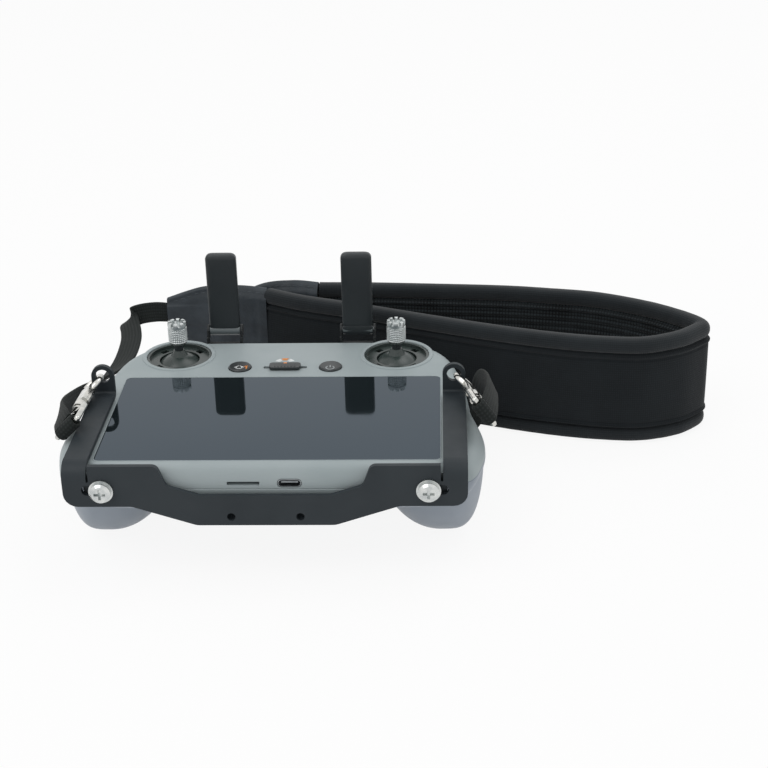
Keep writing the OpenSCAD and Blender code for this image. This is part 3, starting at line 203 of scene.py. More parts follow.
def bands(tree, pitch, way="X", source="UV", profile="SIN"):
    """Even waves pitch mm apart, from 0 to 1; Blender's wave turns once in 2 pi / 20 / scale."""
    place = add(tree, "ShaderNodeTexCoord").outputs[source]
    return add(tree, "ShaderNodeTexWave", {"Vector": place, "Scale": math.pi / 10 / (pitch * MM),
                                           "Distortion": 0}, wave_type="BANDS",
               bands_direction=way, wave_profile=profile).outputs["Fac"]


def join(tree, how, a, b):
    """Two patterns, or a pattern and a number, joined by one operation of the math node."""
    return add(tree, "ShaderNodeMath", {0: a, 1: b}, operation=how).outputs[0]


def shade_by(tree, shader, pattern, light, dark, low=0.35, high=0.65):
    """Colours the surface from dark to light as a pattern goes from low to high."""
    ramp = add(tree, "ShaderNodeValToRGB", {"Fac": pattern})
    ramp.color_ramp.elements[0].position = low
    ramp.color_ramp.elements[0].color = linear(dark)
    ramp.color_ramp.elements[1].position = high
    ramp.color_ramp.elements[1].color = linear(light)
    tree.links.new(ramp.outputs[0], shader.inputs["Base Color"])


def rough_by(tree, shader, pattern, low, high):
    """Roughness from low to high as a pattern goes from 0.3 to 0.7."""
    spread = add(tree, "ShaderNodeMapRange", {"Value": pattern, "From Min": 0.3, "From Max": 0.7,
                                              "To Min": low, "To Max": high})
    tree.links.new(spread.outputs[0], shader.inputs["Roughness"])


def bump_by(tree, shader, pattern, depth, strength=1.0):
    """Raises the surface by a pattern times depth mm."""
    made = add(tree, "ShaderNodeBump", {"Height": pattern, "Distance": depth * MM,
                                        "Strength": strength})
    tree.links.new(made.outputs[0], shader.inputs["Normal"])


def moulded(name, light, dark, rough, grain, depth):
    """Injection-moulded ABS blend: an even satin colour with the die's fine spark grain. Real grain
    is near 0.05 mm; it is drawn coarser so that it shows."""
    made, tree, shader = finish_of(name, {"IOR": 1.52, "Specular IOR Level": 0.45})
    shade_by(tree, shader, noise(tree, 26, 2), light, dark, 0.3, 0.7)
    rough_by(tree, shader, noise(tree, 7, 3), rough - 0.05, rough + 0.05)
    bump_by(tree, shader, noise(tree, grain, 2), depth, 0.5)
    return made


def metal(name, light, dark, low, high, grain, stretch=(1, 1, 1), depth=0.02):
    """Bare or plated metal: its colour shifts a little, and its polish varies along the grain."""
    made, tree, shader = finish_of(name, {"Metallic": 1.0})
    shade_by(tree, shader, noise(tree, 3, 3, stretch), light, dark)
    rough_by(tree, shader, noise(tree, grain, 4, stretch), low, high)
    bump_by(tree, shader, noise(tree, grain, 3, stretch), depth, 0.4)
    return made


def cover_glass():
    """Chemically hardened glass over a dark panel: polished, with the blue cast of the film that
    cuts reflections, and faint smears that dull it."""
    made, tree, shader = finish_of("polished_cover_glass", {"IOR": 1.6,
                                                            "Specular Tint": linear("#a0d4ff")})
    shade_by(tree, shader, noise(tree, 70, 2), "#171e20", "#12191b")
    rough_by(tree, shader, noise(tree, 18, 4), 0.02, 0.06)
    return made


def powder_coat():
    """Steel sheet with satin black powder coat: a soft sheen over a slight orange peel."""
    made, tree, shader = finish_of("powder_coated_steel", {"IOR": 1.5, "Specular IOR Level": 0.22})
    shade_by(tree, shader, noise(tree, 30, 3), "#31373b", "#2b3135")
    rough_by(tree, shader, noise(tree, 9, 3), 0.42, 0.54)
    bump_by(tree, shader, noise(tree, 0.7, 2), 0.03, 0.5)
    return made


def knit(name, light, dark, pitch, depth, sheen):
    """Knitted facing or tape: loops in even rows along and across the piece's UV map, in metres.
    Real loops are near 0.5 mm; they are drawn coarser so that they show."""
    made, tree, shader = finish_of(name, {"Roughness": 0.92, "Sheen Weight": sheen,
                                          "Sheen Roughness": 0.5, "Specular IOR Level": 0.2})
    loops = join(tree, "MULTIPLY", bands(tree, pitch, "X"), bands(tree, pitch * 1.2, "Y"))
    shade_by(tree, shader, join(tree, "ADD", loops, noise(tree, 14, 3)), light, dark, 0.4, 1.3)
    bump_by(tree, shader, loops, depth, 0.7)
    return made


def woven_webbing():
    """Woven nylon webbing: thick picks across the strap and two cords of warp along its edges."""
    made, tree, shader = finish_of("woven_nylon_webbing", {"Roughness": 0.85, "Sheen Weight": 0.05,
                                                           "Specular IOR Level": 0.2})
    weave = join(tree, "MULTIPLY", bands(tree, 1.1, "X"), bands(tree, 1.5, "Y"))
    shade_by(tree, shader, weave, "#2b2f2f", "#1c201f", 0.05, 0.9)
    bump_by(tree, shader, weave, 0.14, 0.8)
    return made


def leather():
    """Smooth-grain leather dyed slate grey: fine pebbles between soft creases."""
    made, tree, shader = finish_of("slate_leather", {"IOR": 1.48, "Specular IOR Level": 0.4})
    place = add(tree, "ShaderNodeTexCoord").outputs["Object"]
    pebbles = add(tree, "ShaderNodeTexVoronoi", {"Vector": place, "Scale": 1 / (1.1 * MM)})
    shade_by(tree, shader, noise(tree, 12, 4), "#363d43", "#282e33")
    rough_by(tree, shader, noise(tree, 5, 3), 0.5, 0.68)
    bump_by(tree, shader, join(tree, "ADD", pebbles.outputs["Distance"], noise(tree, 6, 3)), 0.12,
            0.5)
    return made


def plain(name, code, **values):
    """Small hidden or printed parts: one colour with a faint mottle."""
    made, tree, shader = finish_of(name, {key.replace("_", " "): v for key, v in values.items()})
    dark = "#" + "".join(f"{int(int(code[i:i + 2], 16) * 0.88):02x}" for i in (1, 3, 5))
    shade_by(tree, shader, noise(tree, 2.5, 3), code, dark)
    return made


# What each finish is, by the record's slot or by the print it is for
FINISHES = {
    # ABS blend, moulded and spark textured: the light grey upper half
    "top_casing": lambda: moulded("moulded_light_grey_abs", "#9ea8aa", "#97a2a4", 0.5, 0.45, 0.03),
    # the same blend in a bluer grey: the lower half and its grips
    "bottom_casing": lambda: moulded("moulded_blue_grey_abs", "#949ca6", "#8b949e", 0.46, 0.4,
                                     0.03),
    "cover_glass": cover_glass,
    "display": lambda: plain("display_stack", "#101417", Roughness=0.2),
    # die-cast magnesium with the skin of the mould
    "die_cast": lambda: metal("die_cast_magnesium", "#8b9094", "#787d81", 0.45, 0.6, 0.8),
    "circuit_board": lambda: plain("green_solder_resist", "#1f4a36", Roughness=0.35),
    "tin_plate": lambda: metal("tinned_steel", "#a0a5a8", "#8d9295", 0.3, 0.42, 0.8),
    "cell_wrap": lambda: plain("shrink_film", "#3c6fa0", Roughness=0.3),
    "switch_plastic": lambda: plain("switch_nylon", "#c9c2ae", Roughness=0.5),
    # aluminium, turned, knurled and clear anodised
    "knob_metal": lambda: metal("anodised_aluminium", "#ccd0d0", "#b6bbbb", 0.3, 0.42, 0.6),
    "pin_steel": lambda: metal("ground_steel_pin", "#b0b4b7", "#9a9fa2", 0.2, 0.32, 0.5),
    "red_plastic": lambda: moulded("moulded_red_abs", "#93403a", "#86382f", 0.4, 0.4, 0.02),
    "bracket_paint": powder_coat,
    # steel screws with bright zinc
    "zinc_plate": lambda: metal("bright_zinc_plate", "#d6d8d6", "#bcc0c0", 0.16, 0.3, 0.7),
    "pad_rubber": lambda: plain("black_rubber", "#17191a", Roughness=0.8),
    # zinc casting, nickel plated: bright, with the casting's slight waves
    "hook_nickel": lambda: metal("nickel_plated_casting", "#dcdad4", "#bfc0bd", 0.1, 0.24, 1.1,
                                 depth=0.06),
    "pad_fabric": lambda: knit("knitted_nylon_on_neoprene", "#1d2225", "#14181b", 0.9, 0.08, 0.1),
    "pad_mesh": lambda: knit("ribbed_spacer_mesh", "#2c3235", "#111416", 1.5, 0.4, 0.1),
    "binding_tape": lambda: knit("stretch_binding_tape", "#262b2e", "#1c2023", 0.8, 0.1, 0.2),
    "strap_leather": leather,
    "strap_webbing": woven_webbing,
    "antenna_plastic": lambda: moulded("moulded_black_abs", "#23292c", "#1d2326", 0.42, 0.5, 0.02),
    "black_plastic": lambda: moulded("moulded_charcoal_abs", "#2a2f31", "#23282a", 0.38, 0.5, 0.02),
    "well_plastic": lambda: moulded("moulded_dark_green_grey_abs", "#3a4442", "#303937", 0.3, 0.5,
                                    0.02),
    "thread": lambda: plain("bonded_thread", "#3c4349", Roughness=0.6),
    # the hinge's barrel: black plastic drawn in a lighter grey as a painted highlight, with a satin
    # roughness
    "barrel_painted_highlight": lambda: moulded("barrel_abs_painted_highlight", "#626a6c", "#565e60", 0.3, 0.5, 0.01),
    "ear_plastic": lambda: moulded("moulded_black_nylon", "#171b1d", "#121618", 0.6, 0.5, 0.02),
    # steel with the black of an oxide bath
    "black_oxide": lambda: metal("black_oxide_steel", "#3a3e40", "#2b2f31", 0.45, 0.6, 0.8),
    "white_ink": lambda: plain("white_pad_print", "#dfe3e3", Roughness=0.5),
    "grey_ink": lambda: plain("grey_pad_print", "#a3aaac", Roughness=0.5),
    "orange_ink": lambda: plain("orange_pad_print", "#e08a3a", Roughness=0.5),
}
made_finishes = {}


def finish(name):
    """The material for a slot or print, made the first time that it is asked for."""
    if name not in made_finishes:
        made_finishes[name] = FINISHES[name]()
    return made_finishes[name]


# ---------------------------------------------------------------- building meshes

class Solid:
    """Closed skins, in mm, gathered into one mesh. Seams and poles are written twice and merged."""

    def __init__(self):
        self.points, self.uvs, self.faces, self.slots, self.count = [], [], [], [], 0

    def skin(self, points, uv=None, slots=None, capped=True):
        """Adds a skin through a (rows, columns, 3) array whose last column repeats the first, with
        flat ends where it is capped; slots gives each column's material."""
        rows, columns = points.shape[:2]
        index = np.arange(rows * columns).reshape(rows, columns)
        quads = np.stack([index[:-1, :-1], index[:-1, 1:], index[1:, 1:], index[1:, :-1]], -1)
        quads = quads.reshape(-1, 4)
        ends = [index[0, :-1][::-1], index[-1, :-1]] if capped else []
        flat = points.reshape(-1, 3).astype(float)
        a, b, c, d = (flat[quads[:, k]] for k in range(4))
        volume = (a * np.cross(b, c)).sum() + (a * np.cross(c, d)).sum()
        for end in ends:
            p = flat[end]
            volume += (p[0] * np.cross(p[1:-1], p[2:])).sum()
        if volume < 0:
            quads, ends = quads[:, ::-1], [end[::-1] for end in ends]
        each = np.zeros(columns - 1, int) if slots is None else np.asarray(slots)
        self.faces += (quads + self.count).tolist() + [(e + self.count).tolist() for e in ends]
        self.slots += np.tile(each, rows - 1).tolist() + [0] * len(ends)
        self.points.append(flat)
        self.uvs.append(np.zeros((len(flat), 2)) if uv is None else uv.reshape(-1, 2))
        self.count += len(flat)
        return self

    def lathe(self, profile, place, way=(0, 0, 1), columns=64, ring=False):
        """Adds a profile of (radius, height) turned about a line through place along way."""
        profile = np.array(profile + profile[:1] if ring else profile, float)
        turn = np.linspace(0, 2 * math.pi, columns + 1)
        local = np.stack([profile[:, :1] * np.cos(turn), profile[:, :1] * np.sin(turn),
                          profile[:, 1:] + 0 * turn], -1)
        return self.skin(local @ frame_of(way).T + np.array(place), capped=not ring)

    def prism(self, outline, low, high, turn=None, place=(0, 0, 0)):
        """Adds a closed outline of (x, y) drawn up from low to high, then turned and placed."""
        outline = np.vstack([outline, outline[:1]])
        local = np.stack([np.column_stack([outline, np.full(len(outline), z)])
                          for z in (low, high)])
        turn = np.eye(3) if turn is None else turn
        return self.skin(local @ turn.T + np.array(place))

    def repeat(self, shape, origins, frames):
        """Adds a small closed skin once at each origin, with its axes turned to each frame."""
        for origin, axes in zip(origins, frames):
            self.skin(shape @ axes + origin, capped=False)
        return self

    def piece(self, name, *finishes, body=None, stands_for=(), slot=None, sharp=35):
        """Makes the object, and where a body is named, has it ride there in place of its nodes."""
        mesh = bpy.data.meshes.new(name)
        mesh.from_pydata(np.vstack(self.points) * MM, [], self.faces)
        mesh.polygons.foreach_set("material_index", np.array(self.slots, np.int32))
        corner = np.zeros(len(mesh.loops), np.int32)
        mesh.loops.foreach_get("vertex_index", corner)
        mesh.uv_layers.new(name="UVMap").data.foreach_set(
            "uv", (np.vstack(self.uvs)[corner] * MM).astype(np.float32).ravel())
        form = bmesh.new()
        form.from_mesh(mesh)
        bmesh.ops.remove_doubles(form, verts=form.verts, dist=0.0005 * MM)
        form.to_mesh(mesh)
        form.free()
        for finish_name in finishes:
            mesh.materials.append(finish(finish_name))
        made = bpy.data.objects.new(name, mesh)
        bpy.context.scene.collection.objects.link(made)
        smooth(made, sharp)
        return settle(made, body, stands_for) if body else made


def settle(made, body, stands_for):
    """Has a finished piece ride on a body and stand for CAD nodes, which it hides."""
    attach(made, body)
    if stands_for:
        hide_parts(*stands_for)
    return made


def smooth(made, sharp):
    """Shades a mesh smooth, but for edges sharper than so many degrees."""
    made.data.shade_smooth()
    made.data.set_sharp_from_angle(angle=math.radians(sharp))


def carve(made, *cutters):
    """Takes each cutter's solid out of a piece, for good."""
    for cutter in cutters:
        cut = made.modifiers.new("carve", "BOOLEAN")
        cut.operation, cut.solver, cut.object = "DIFFERENCE", "EXACT", cutter
    shaped = made.evaluated_get(bpy.context.evaluated_depsgraph_get())
    mesh = bpy.data.meshes.new_from_object(shaped)
    made.modifiers.clear()
    made.data = mesh
    for cutter in cutters:
        bpy.data.objects.remove(cutter)
    return made


def join_to(made, other):
    """Adds another piece's skins to a piece."""
    form = bmesh.new()
    form.from_mesh(made.data)
    form.from_mesh(other.data)
    form.to_mesh(made.data)
    form.free()
    bpy.data.objects.remove(other)


def unit(v):
    """Vectors of length one, along the last axis."""
    v = np.asarray(v, float)
    return v / np.linalg.norm(v, axis=-1, keepdims=True)


def frame_of(way, hint=(0, 0, 1)):
    """Axes as columns: z along way, x as near hint as it can be."""
    z = unit(way)
    hint = np.array((1, 0, 0) if abs(z @ unit(hint)) > 0.99 else hint, float)
    x = unit(hint - (hint @ z) * z)
    return np.stack([x, np.cross(z, x), z], -1)


def rounded_box(w, d, r, steps=6):
    """Outline of a box w by d about the middle, with corners of radius r drawn as arcs."""
    turn = np.linspace(0, math.pi / 2, steps + 1)
    corners = [np.stack([np.cos(turn + q * math.pi / 2), np.sin(turn + q * math.pi / 2)], -1) * r
               + np.array([(1, 1), (-1, 1), (-1, -1), (1, -1)][q]) * (w / 2 - r, d / 2 - r)
               for q in range(4)]
    return np.vstack(corners)


def squared_ellipse(steps, across_power, along_power):
    """Cosine and sine round a closed turn, each raised to a power below 1 that squares it."""
    turn = np.linspace(0, 2 * math.pi, steps + 1)
    c, s = np.cos(turn), np.sin(turn)
    return np.sign(c) * np.abs(c) ** across_power, np.sign(s) * np.abs(s) ** along_power


def level(x, y, z):
    """Places at one height."""
    return np.stack([x, y, z + 0 * x], -1)


def circle(r, steps=64):
    """Outline of a circle about the middle."""
    turn = np.linspace(0, 2 * math.pi, steps, endpoint=False)
    return np.stack([r * np.cos(turn), r * np.sin(turn)], -1)


def through(rows, steps):
    """A smooth curve through rows of numbers: the Catmull-Rom cubic that part.scad draws."""
    rows = np.asarray(rows, float)
    padded = np.vstack([rows[:1], rows, rows[-1:]])
    a, b, c, d = padded[:-3], padded[1:-2], padded[2:-1], padded[3:]
    t = (np.arange(steps) / steps)[None, :, None]
    a, b, c, d = (v[:, None, :] for v in (a, b, c, d))
    curve = 0.5 * (2 * b + (c - a) * t + (2 * a - 5 * b + 4 * c - d) * t * t
                   + (3 * b - a - 3 * c + d) * t ** 3)
    return np.vstack([curve.reshape(-1, rows.shape[1]), rows[-1:]])


def arc_length(points):
    """Distance along a line of points, from its start."""
    return np.concatenate([[0], np.cumsum(np.linalg.norm(np.diff(points, axis=0), axis=1))])


# ---------------------------------------------------------------- casing

# Sizes of the casing in mm, as in the CAD source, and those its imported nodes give
FACE_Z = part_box("cover_glass")[1].z / MM
HALF_W, NEAR_LEN, FAR_LEN, OUTLINE_Y, PART_Z = 84.2, 25.8, 95.2, -18, 37
WALL, WAIST = 2.4, 5.4
# Values that differ by side, as (sides, near wall, far wall): the wall's thickness over WALL at the
# parting line, the width of the rim's quarter round, and that of the belly's
WALL_MORE, RIM_ROUND, BELLY_ROUND = (3.1, 0.2, 0.8), (8, 3.5, 5), (12, 5, 7)
GRIP_X, GRIP_Y, GRIP_IN, GRIP_NEAR, GRIP_FAR = 66.5, 2, 27, 37, 62
GRIP_OUT_POWER, GRIP_END_POWER = 4, 2.6
BELLY_NEAR_Z, BELLY_FAR_Z, BELLY_FROM, BELLY_RUN = 26.2, 17, -31.8, 109
BLEND, BLEND_RUN, BLEND_DROP = 7, 9, 0.12
STICK_X, STICK_Y, WELL_R = 47.6, 60, 14.1
KEY_X, KEY_Y, KEY_HOLE_R = 19.5, 47.2, 5.1
PORT_Z, PORT_Y = FACE_Z - 6.6, -45.8
USB_X, CARD_X = 9.2, -8.4
HINGE_X, HINGE_Y, HINGE_Z = 29.8, 81.5, 49.0
# Openings, each as width, depth and corner radius
GLASS_HOLE, PANEL_HOLE = (133.3, 74.8, 2.2), (126.6, 70.6, 1)
HINGE_HOLE, SLIDER_SLOT = (16, 9, 0.3), (18.7, 2.2, 0.5)
USB_HOLE, CARD_HOLE = (9.44, 3.7, 1.7), (12.5, 1.5, 0.3)
GLASS_LIP = (133.5, 75, 2.3)
FLOOR_VENT, WALL_VENT = (1.6, 18, 0.7), (1.2, 12, 0.1)
# What the lower half carries and lets through; the pocket is radius and height, in two steps
GIMBAL_POCKET = [(0, 28.6), (13.6, 28.6), (13.6, 31.3), (15.2, 31.3), (15.2, PART_Z + 2),
                 (0, PART_Z + 2)]
CELL_X, SADDLE_PLACES = GRIP_X - 4.3, (-12, 24)
SCREW_PLACES, SCREW_HEAD_Z = ((50, -38.4), (13, 71)), 28.4
DIAL_PLACE, DIAL_R = (52, 66), 10.6
BACK_KEY_PLACE, BACK_KEY_R = (33, 30), 4.7
SIDE_KEY_WAY, SIDE_KEY_PLACE, SIDE_KEY_R = (0.899, 0.438), (71.24, 62.03), 3.4
SPEAKER_PLACE, SPEAKER_HOLE_R, SPEAKER_PITCH = (-26, -16), 0.6, 2.4
# The upper half's colour goes down the near wall to here, where the bracket covers it
LIP_HW, LIP_Y, LIP_Z = 60, -40.5, 30


def ramp(t):
    """t held between 0 and 1."""
    return np.clip(t, 0, 1)


def ease(t):
    """A smooth step from 0 to 1."""
    return ramp(t) ** 2 * (3 - 2 * ramp(t))


def round_up(t):
    """A quarter circle's rise over 0 to 1."""
    return np.sqrt(1 - (1 - ramp(t)) ** 2)


def side_at(y):
    """Half width of the casing at y: full at the grips, drawn in to a waist behind them."""
    return (HALF_W - WAIST * ease((y + 14) / 34) - 2.2 * ramp((y - 20) / 30)
            - 3 * ease((-16 - y) / 20))


def squared_circle(count):
    """Points on |x|^6 + |y|^6 = 1, the outline in unit size; the last repeats the first."""
    turn = np.linspace(0, 2 * math.pi, count + 1)
    c, s = np.cos(turn), np.sin(turn)
    return np.stack([c, s], -1) / ((np.abs(c) ** 6 + np.abs(s) ** 6) ** (1 / 6))[:, None]


def by_side(u, sides, near, far):
    """A value that differs between the sides, the near wall and the far wall."""
    x6, y6 = np.abs(u[:, 0]) ** 6, np.abs(u[:, 1]) ** 6
    return sides * x6 + np.where(u[:, 1] < 0, near, far) * y6


def plan_at(u, r):
    """The place at share r of the way from the outline's middle to its edge."""
    y = OUTLINE_Y + r * u[:, 1] * np.where(u[:, 1] < 0, NEAR_LEN, FAR_LEN)
    return r * u[:, 0] * side_at(y), y


def belly_depth(u, r):
    """Depth below the parting line: a slab with rounded edges, and two long grips like eggs with
    a full shoulder, joined by a soft maximum. A grip is PART_Z * sqrt(1 - across - along), where
    across is a share of its half width to the power 4 outwards and 2 inwards, and along is a share
    of its half length to the power 2.6."""
    x, y = plan_at(u, r)
    away = (1 - r) * by_side(u, HALF_W, NEAR_LEN, FAR_LEN)
    low = BELLY_NEAR_Z + (BELLY_FAR_Z - BELLY_NEAR_Z) * ramp((y - BELLY_FROM) / BELLY_RUN)
    slab = (PART_Z - low) * round_up(away / by_side(u, *BELLY_ROUND))
    across = np.abs(x) * HALF_W / side_at(y)
    ex = np.where(across > GRIP_X,
                  np.abs((across - GRIP_X) / (HALF_W - GRIP_X)) ** GRIP_OUT_POWER,
                  ((GRIP_X - across) / GRIP_IN) ** 2)
    ey = np.abs(y - GRIP_Y) / np.where(y < GRIP_Y, GRIP_NEAR, GRIP_FAR)
    grip = PART_Z * np.maximum(0, 1 - ex - ey ** GRIP_END_POWER) ** 0.5
    k = BLEND * ramp(away / BLEND_RUN)
    return (slab + grip + np.sqrt((slab - grip) ** 2 + k * k)) / 2 - BLEND_DROP * k


def hollow_share(u, reach):
    """Share of the way to the edge at which the hollow's wall stands."""
    return 1 - by_side(u, *(WALL + more for more in WALL_MORE)) / reach


def ring(u, r, z):
    """One ring of places at share r and height z."""
    return level(*plan_at(u, r), z)


def make_top_shell(sizes):
    """Upper half: from its hollow out over the parting edge, up a quarter-round rim whose width
    differs by side, to the flat face. Openings are carved, and rims are added round them."""
    u = squared_circle(384)
    reach = by_side(u, HALF_W, NEAR_LEN, FAR_LEN)
    inner = hollow_share(u, reach)
    seam = sizes.seam / MM
    rows = [ring(u, inner, FACE_Z - WALL), ring(u, inner, PART_Z),
            ring(u, 1 - seam / reach, PART_Z)]
    for rise in np.radians(np.linspace(2, 90, 16)):
        share = 1 - (1 - math.cos(rise)) * by_side(u, *RIM_ROUND) / reach
        rows.append(ring(u, share, PART_Z + (FACE_Z - PART_Z) * math.sin(rise)))
    shell = Solid().skin(np.array(rows)).piece("top_casing_shell", "top_casing")

    holes = Solid().prism(rounded_box(*GLASS_HOLE), FACE_Z - 1.05, FACE_Z + 3)
    for side in (-1, 1):
        holes.prism(circle(WELL_R, 96) + (side * STICK_X, STICK_Y), PART_Z - 1, FACE_Z + 3)
        holes.prism(circle(KEY_HOLE_R) + (side * KEY_X, KEY_Y), PART_Z + 2, FACE_Z + 3)
        holes.prism(rounded_box(*HINGE_HOLE) + (side * HINGE_X, HINGE_Y - 0.8), PART_Z - 5,
                    FACE_Z - 1.4)
    holes.prism(rounded_box(*SLIDER_SLOT) + (0, KEY_Y), PART_Z + 2, FACE_Z + 3)
    upright = frame_of((0, 1, 0), (1, 0, 0))
    for opening, x in ((USB_HOLE, USB_X), (CARD_HOLE, CARD_X)):
        holes.prism(rounded_box(*opening), 0, 12, upright, (x, PORT_Y, PORT_Z))
    window = Solid().prism(rounded_box(*PANEL_HOLE), PART_Z - 1, FACE_Z + 2)
    carve(shell, holes.piece("holes", "top_casing"), window.piece("window", "top_casing"))

    rims = Solid()
    for side in (-1, 1):
        top = [(WELL_R, FACE_Z - 2.6), (WELL_R, FACE_Z + 0.1)]
        top += [(WELL_R + 0.95 - 0.95 * math.cos(a), FACE_Z + 0.1 + 0.4 * math.sin(a))
                for a in np.linspace(0.3, math.pi - 0.3, 9)]
        top += [(WELL_R + 1.95, FACE_Z - 0.1), (WELL_R + 1.9, FACE_Z - 2.6)]
        rims.lathe(top, (side * STICK_X, STICK_Y, 0), columns=96, ring=True)
    edge = rounded_box(*GLASS_LIP)
    edge = np.vstack([edge, edge[:1]])
    turn = np.linspace(0, 2 * math.pi, 11)
    share = edge / GLASS_LIP[:2]
    out = unit(share * np.abs(share) ** 5 + 1e-9)
    lip = np.stack([np.column_stack([edge + out * 0.3 * math.cos(a),
                                     np.full(len(edge), FACE_Z - 0.12 + 0.3 * math.sin(a))])
                    for a in turn], 1)
    rims.skin(lip, capped=False)
    join_to(shell, rims.piece("rims", "top_casing"))
    smooth(shell, 35)
    return settle(shell, "controller", ["top_shell"])


def make_bottom_shell(sizes):
    """Lower half: the hollow's skin from its middle out, over the parting edge, and back under the
    belly and the grips. Rings crowd towards the edge, where the skin is steepest."""
    u = squared_circle(384)
    reach = by_side(u, HALF_W, NEAR_LEN, FAR_LEN)
    inner = hollow_share(u, reach)
    rows = []
    for t in np.linspace(0.03, 1, 30):
        deep = np.maximum(0.5 * (1 - t), belly_depth(u, t * inner) - WALL - 0.5)
        rows.append(ring(u, t * inner, PART_Z - deep))
    rows += [ring(u, inner, PART_Z), ring(u, 1 - sizes.seam / MM / reach, PART_Z),
             ring(u, 1, PART_Z - 0.25)]
    for s in np.linspace(0.02, 0.985, 64):
        rows.append(ring(u, 1 - s * s, PART_Z - belly_depth(u, 1 - s * s)))
    shell = Solid().skin(np.array(rows)).piece("bottom_casing_shell", "bottom_casing")

    holes = Solid()
    for side in (-1, 1):
        dial = (side * DIAL_PLACE[0], DIAL_PLACE[1])
        holes.prism(circle(DIAL_R) + dial, 20.7, 25.9)
        holes.lathe(GIMBAL_POCKET, (side * STICK_X, STICK_Y, 0))
        holes.prism(circle(BACK_KEY_R) + (side * BACK_KEY_PLACE[0], BACK_KEY_PLACE[1]), 10, 30)
        for x, y in SCREW_PLACES:
            holes.prism(circle(1.9, 24) + (side * x, y), 10, SCREW_HEAD_Z)
        holes.prism(circle(SIDE_KEY_R, 40), -6, 6,
                    frame_of((side * SIDE_KEY_WAY[0], SIDE_KEY_WAY[1], 0)),
                    (side * SIDE_KEY_PLACE[0], SIDE_KEY_PLACE[1], PART_Z - 6.5))
    for i in range(-3, 4):
        holes.prism(rounded_box(*FLOOR_VENT) + (4 * i, 14), 10, 30)
        holes.prism(rounded_box(*WALL_VENT) + (3 * i, 75.2), 25, 33)
    for i in range(-2, 3):
        for j in range(-2, 3):
            holes.prism(circle(SPEAKER_HOLE_R, 16) + (SPEAKER_PITCH * i + SPEAKER_PLACE[0],
                                                      SPEAKER_PITCH * j + SPEAKER_PLACE[1]), 15, 29)
    carve(shell, holes.piece("holes", "bottom_casing"))

    posts = Solid()
    for side in (-1, 1):
        for y in SADDLE_PLACES:
            posts.lathe([(0, 4.2), (3, 4.2), (3, 11.8), (0, 11.8)], (side * CELL_X, y, 0))
        for x, y in SCREW_PLACES:
            posts.lathe([(1.1, SCREW_HEAD_Z), (2.3, SCREW_HEAD_Z), (2.3, 33), (1.1, 33)],
                        (side * x, y, 0), ring=True)
        posts.lathe([(0, 19), (2.6, 19), (2.6, 20.7), (0, 20.7)],
                    (side * DIAL_PLACE[0], DIAL_PLACE[1], 0))
    posts.lathe([(7.4, 25), (9, 25), (9, 28.6), (7.4, 28.6)], (*SPEAKER_PLACE, 0), ring=True)
    join_to(shell, posts.piece("posts", "bottom_casing"))
    smooth(shell, 38)
    shell.data.materials.append(finish("top_casing"))
    for face in shell.data.polygons:
        x, y, z = face.center / MM
        if abs(x) < LIP_HW and y < LIP_Y and z > LIP_Z:
            face.material_index = len(shell.data.materials) - 1
    return settle(shell, "controller", ["bottom_shell"])


# ---------------------------------------------------------------- sticks and keys

# The knob's height, the knurls' pitch up it and the heights between which they run, in mm
KNOB_H, KNURL_PITCH, KNURLED = 10.9, 0.84, (2, 7.9)
NOTCHES, NOTCH_FLOOR = 8, 9.4


def make_knob(sizes, side):
    """A turned knob: radius over height, with square knurls that are the product of a wave round
    the knob and a wave up it, and a crown whose top drops into eight notches."""
    foot, top = (corner.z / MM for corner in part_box("left_knob"))
    outline = [(1.6, 0), (2.2, 0), (2.9, 0.25), (3.45, 0.75), (3.85, 1.3), (4.08, 1.9)]
    outline += [(4.15, h) for h in np.linspace(2.0, 7.9, 52)]
    outline += [(4.05, 8.0), (3.65, 8.2), (3.65, 8.6), (4.0, 8.8), (4.05, 9.2), (4.05, 9.7),
                (4.05, 10.2), (3.9, 10.75), (3.6, 10.9), (2.8, 10.9), (2.6, 10.7), (2.6, 9.4),
                (1.2, 9.2), (0, 9.2)]
    radius, rise = np.array([(0, 0)] + outline).T
    columns = 2 * 4 * sizes.knurl_count
    turn = np.linspace(0, 2 * math.pi, columns + 1)
    around = 0.5 + 0.5 * np.cos(turn * sizes.knurl_count)
    up = 0.5 + 0.5 * np.cos(2 * math.pi * (rise - KNURLED[0]) / KNURL_PITCH)
    knurled = ((rise > KNURLED[0] - 0.05) & (rise < KNURLED[1] + 0.05))[:, None]
    tooth = np.clip(up, 0, 0.7)[:, None] * np.clip(around, 0, 0.7)[None, :] / 0.49
    r = radius[:, None] - knurled * (sizes.knurl_depth / MM) * (1 - tooth)
    notch = ease((np.abs(((turn * NOTCHES / (2 * math.pi)) % 1) - 0.5) - 0.16) / 0.06)
    crown = NOTCH_FLOOR + (KNOB_H - NOTCH_FLOOR) * notch
    z = np.minimum(rise[:, None] + 0 * turn, np.where(radius[:, None] > 2, crown, 99))
    place = np.array([side * STICK_X, STICK_Y, foot])
    rows = np.stack([r * np.cos(turn), r * np.sin(turn), z * (top - foot) / KNOB_H], -1) + place
    word = WORDS[side]
    return Solid().skin(rows, capped=False).piece(
        word + "_knurled_knob", "knob_metal", body=word + "_stick", stands_for=[word + "_knob"])


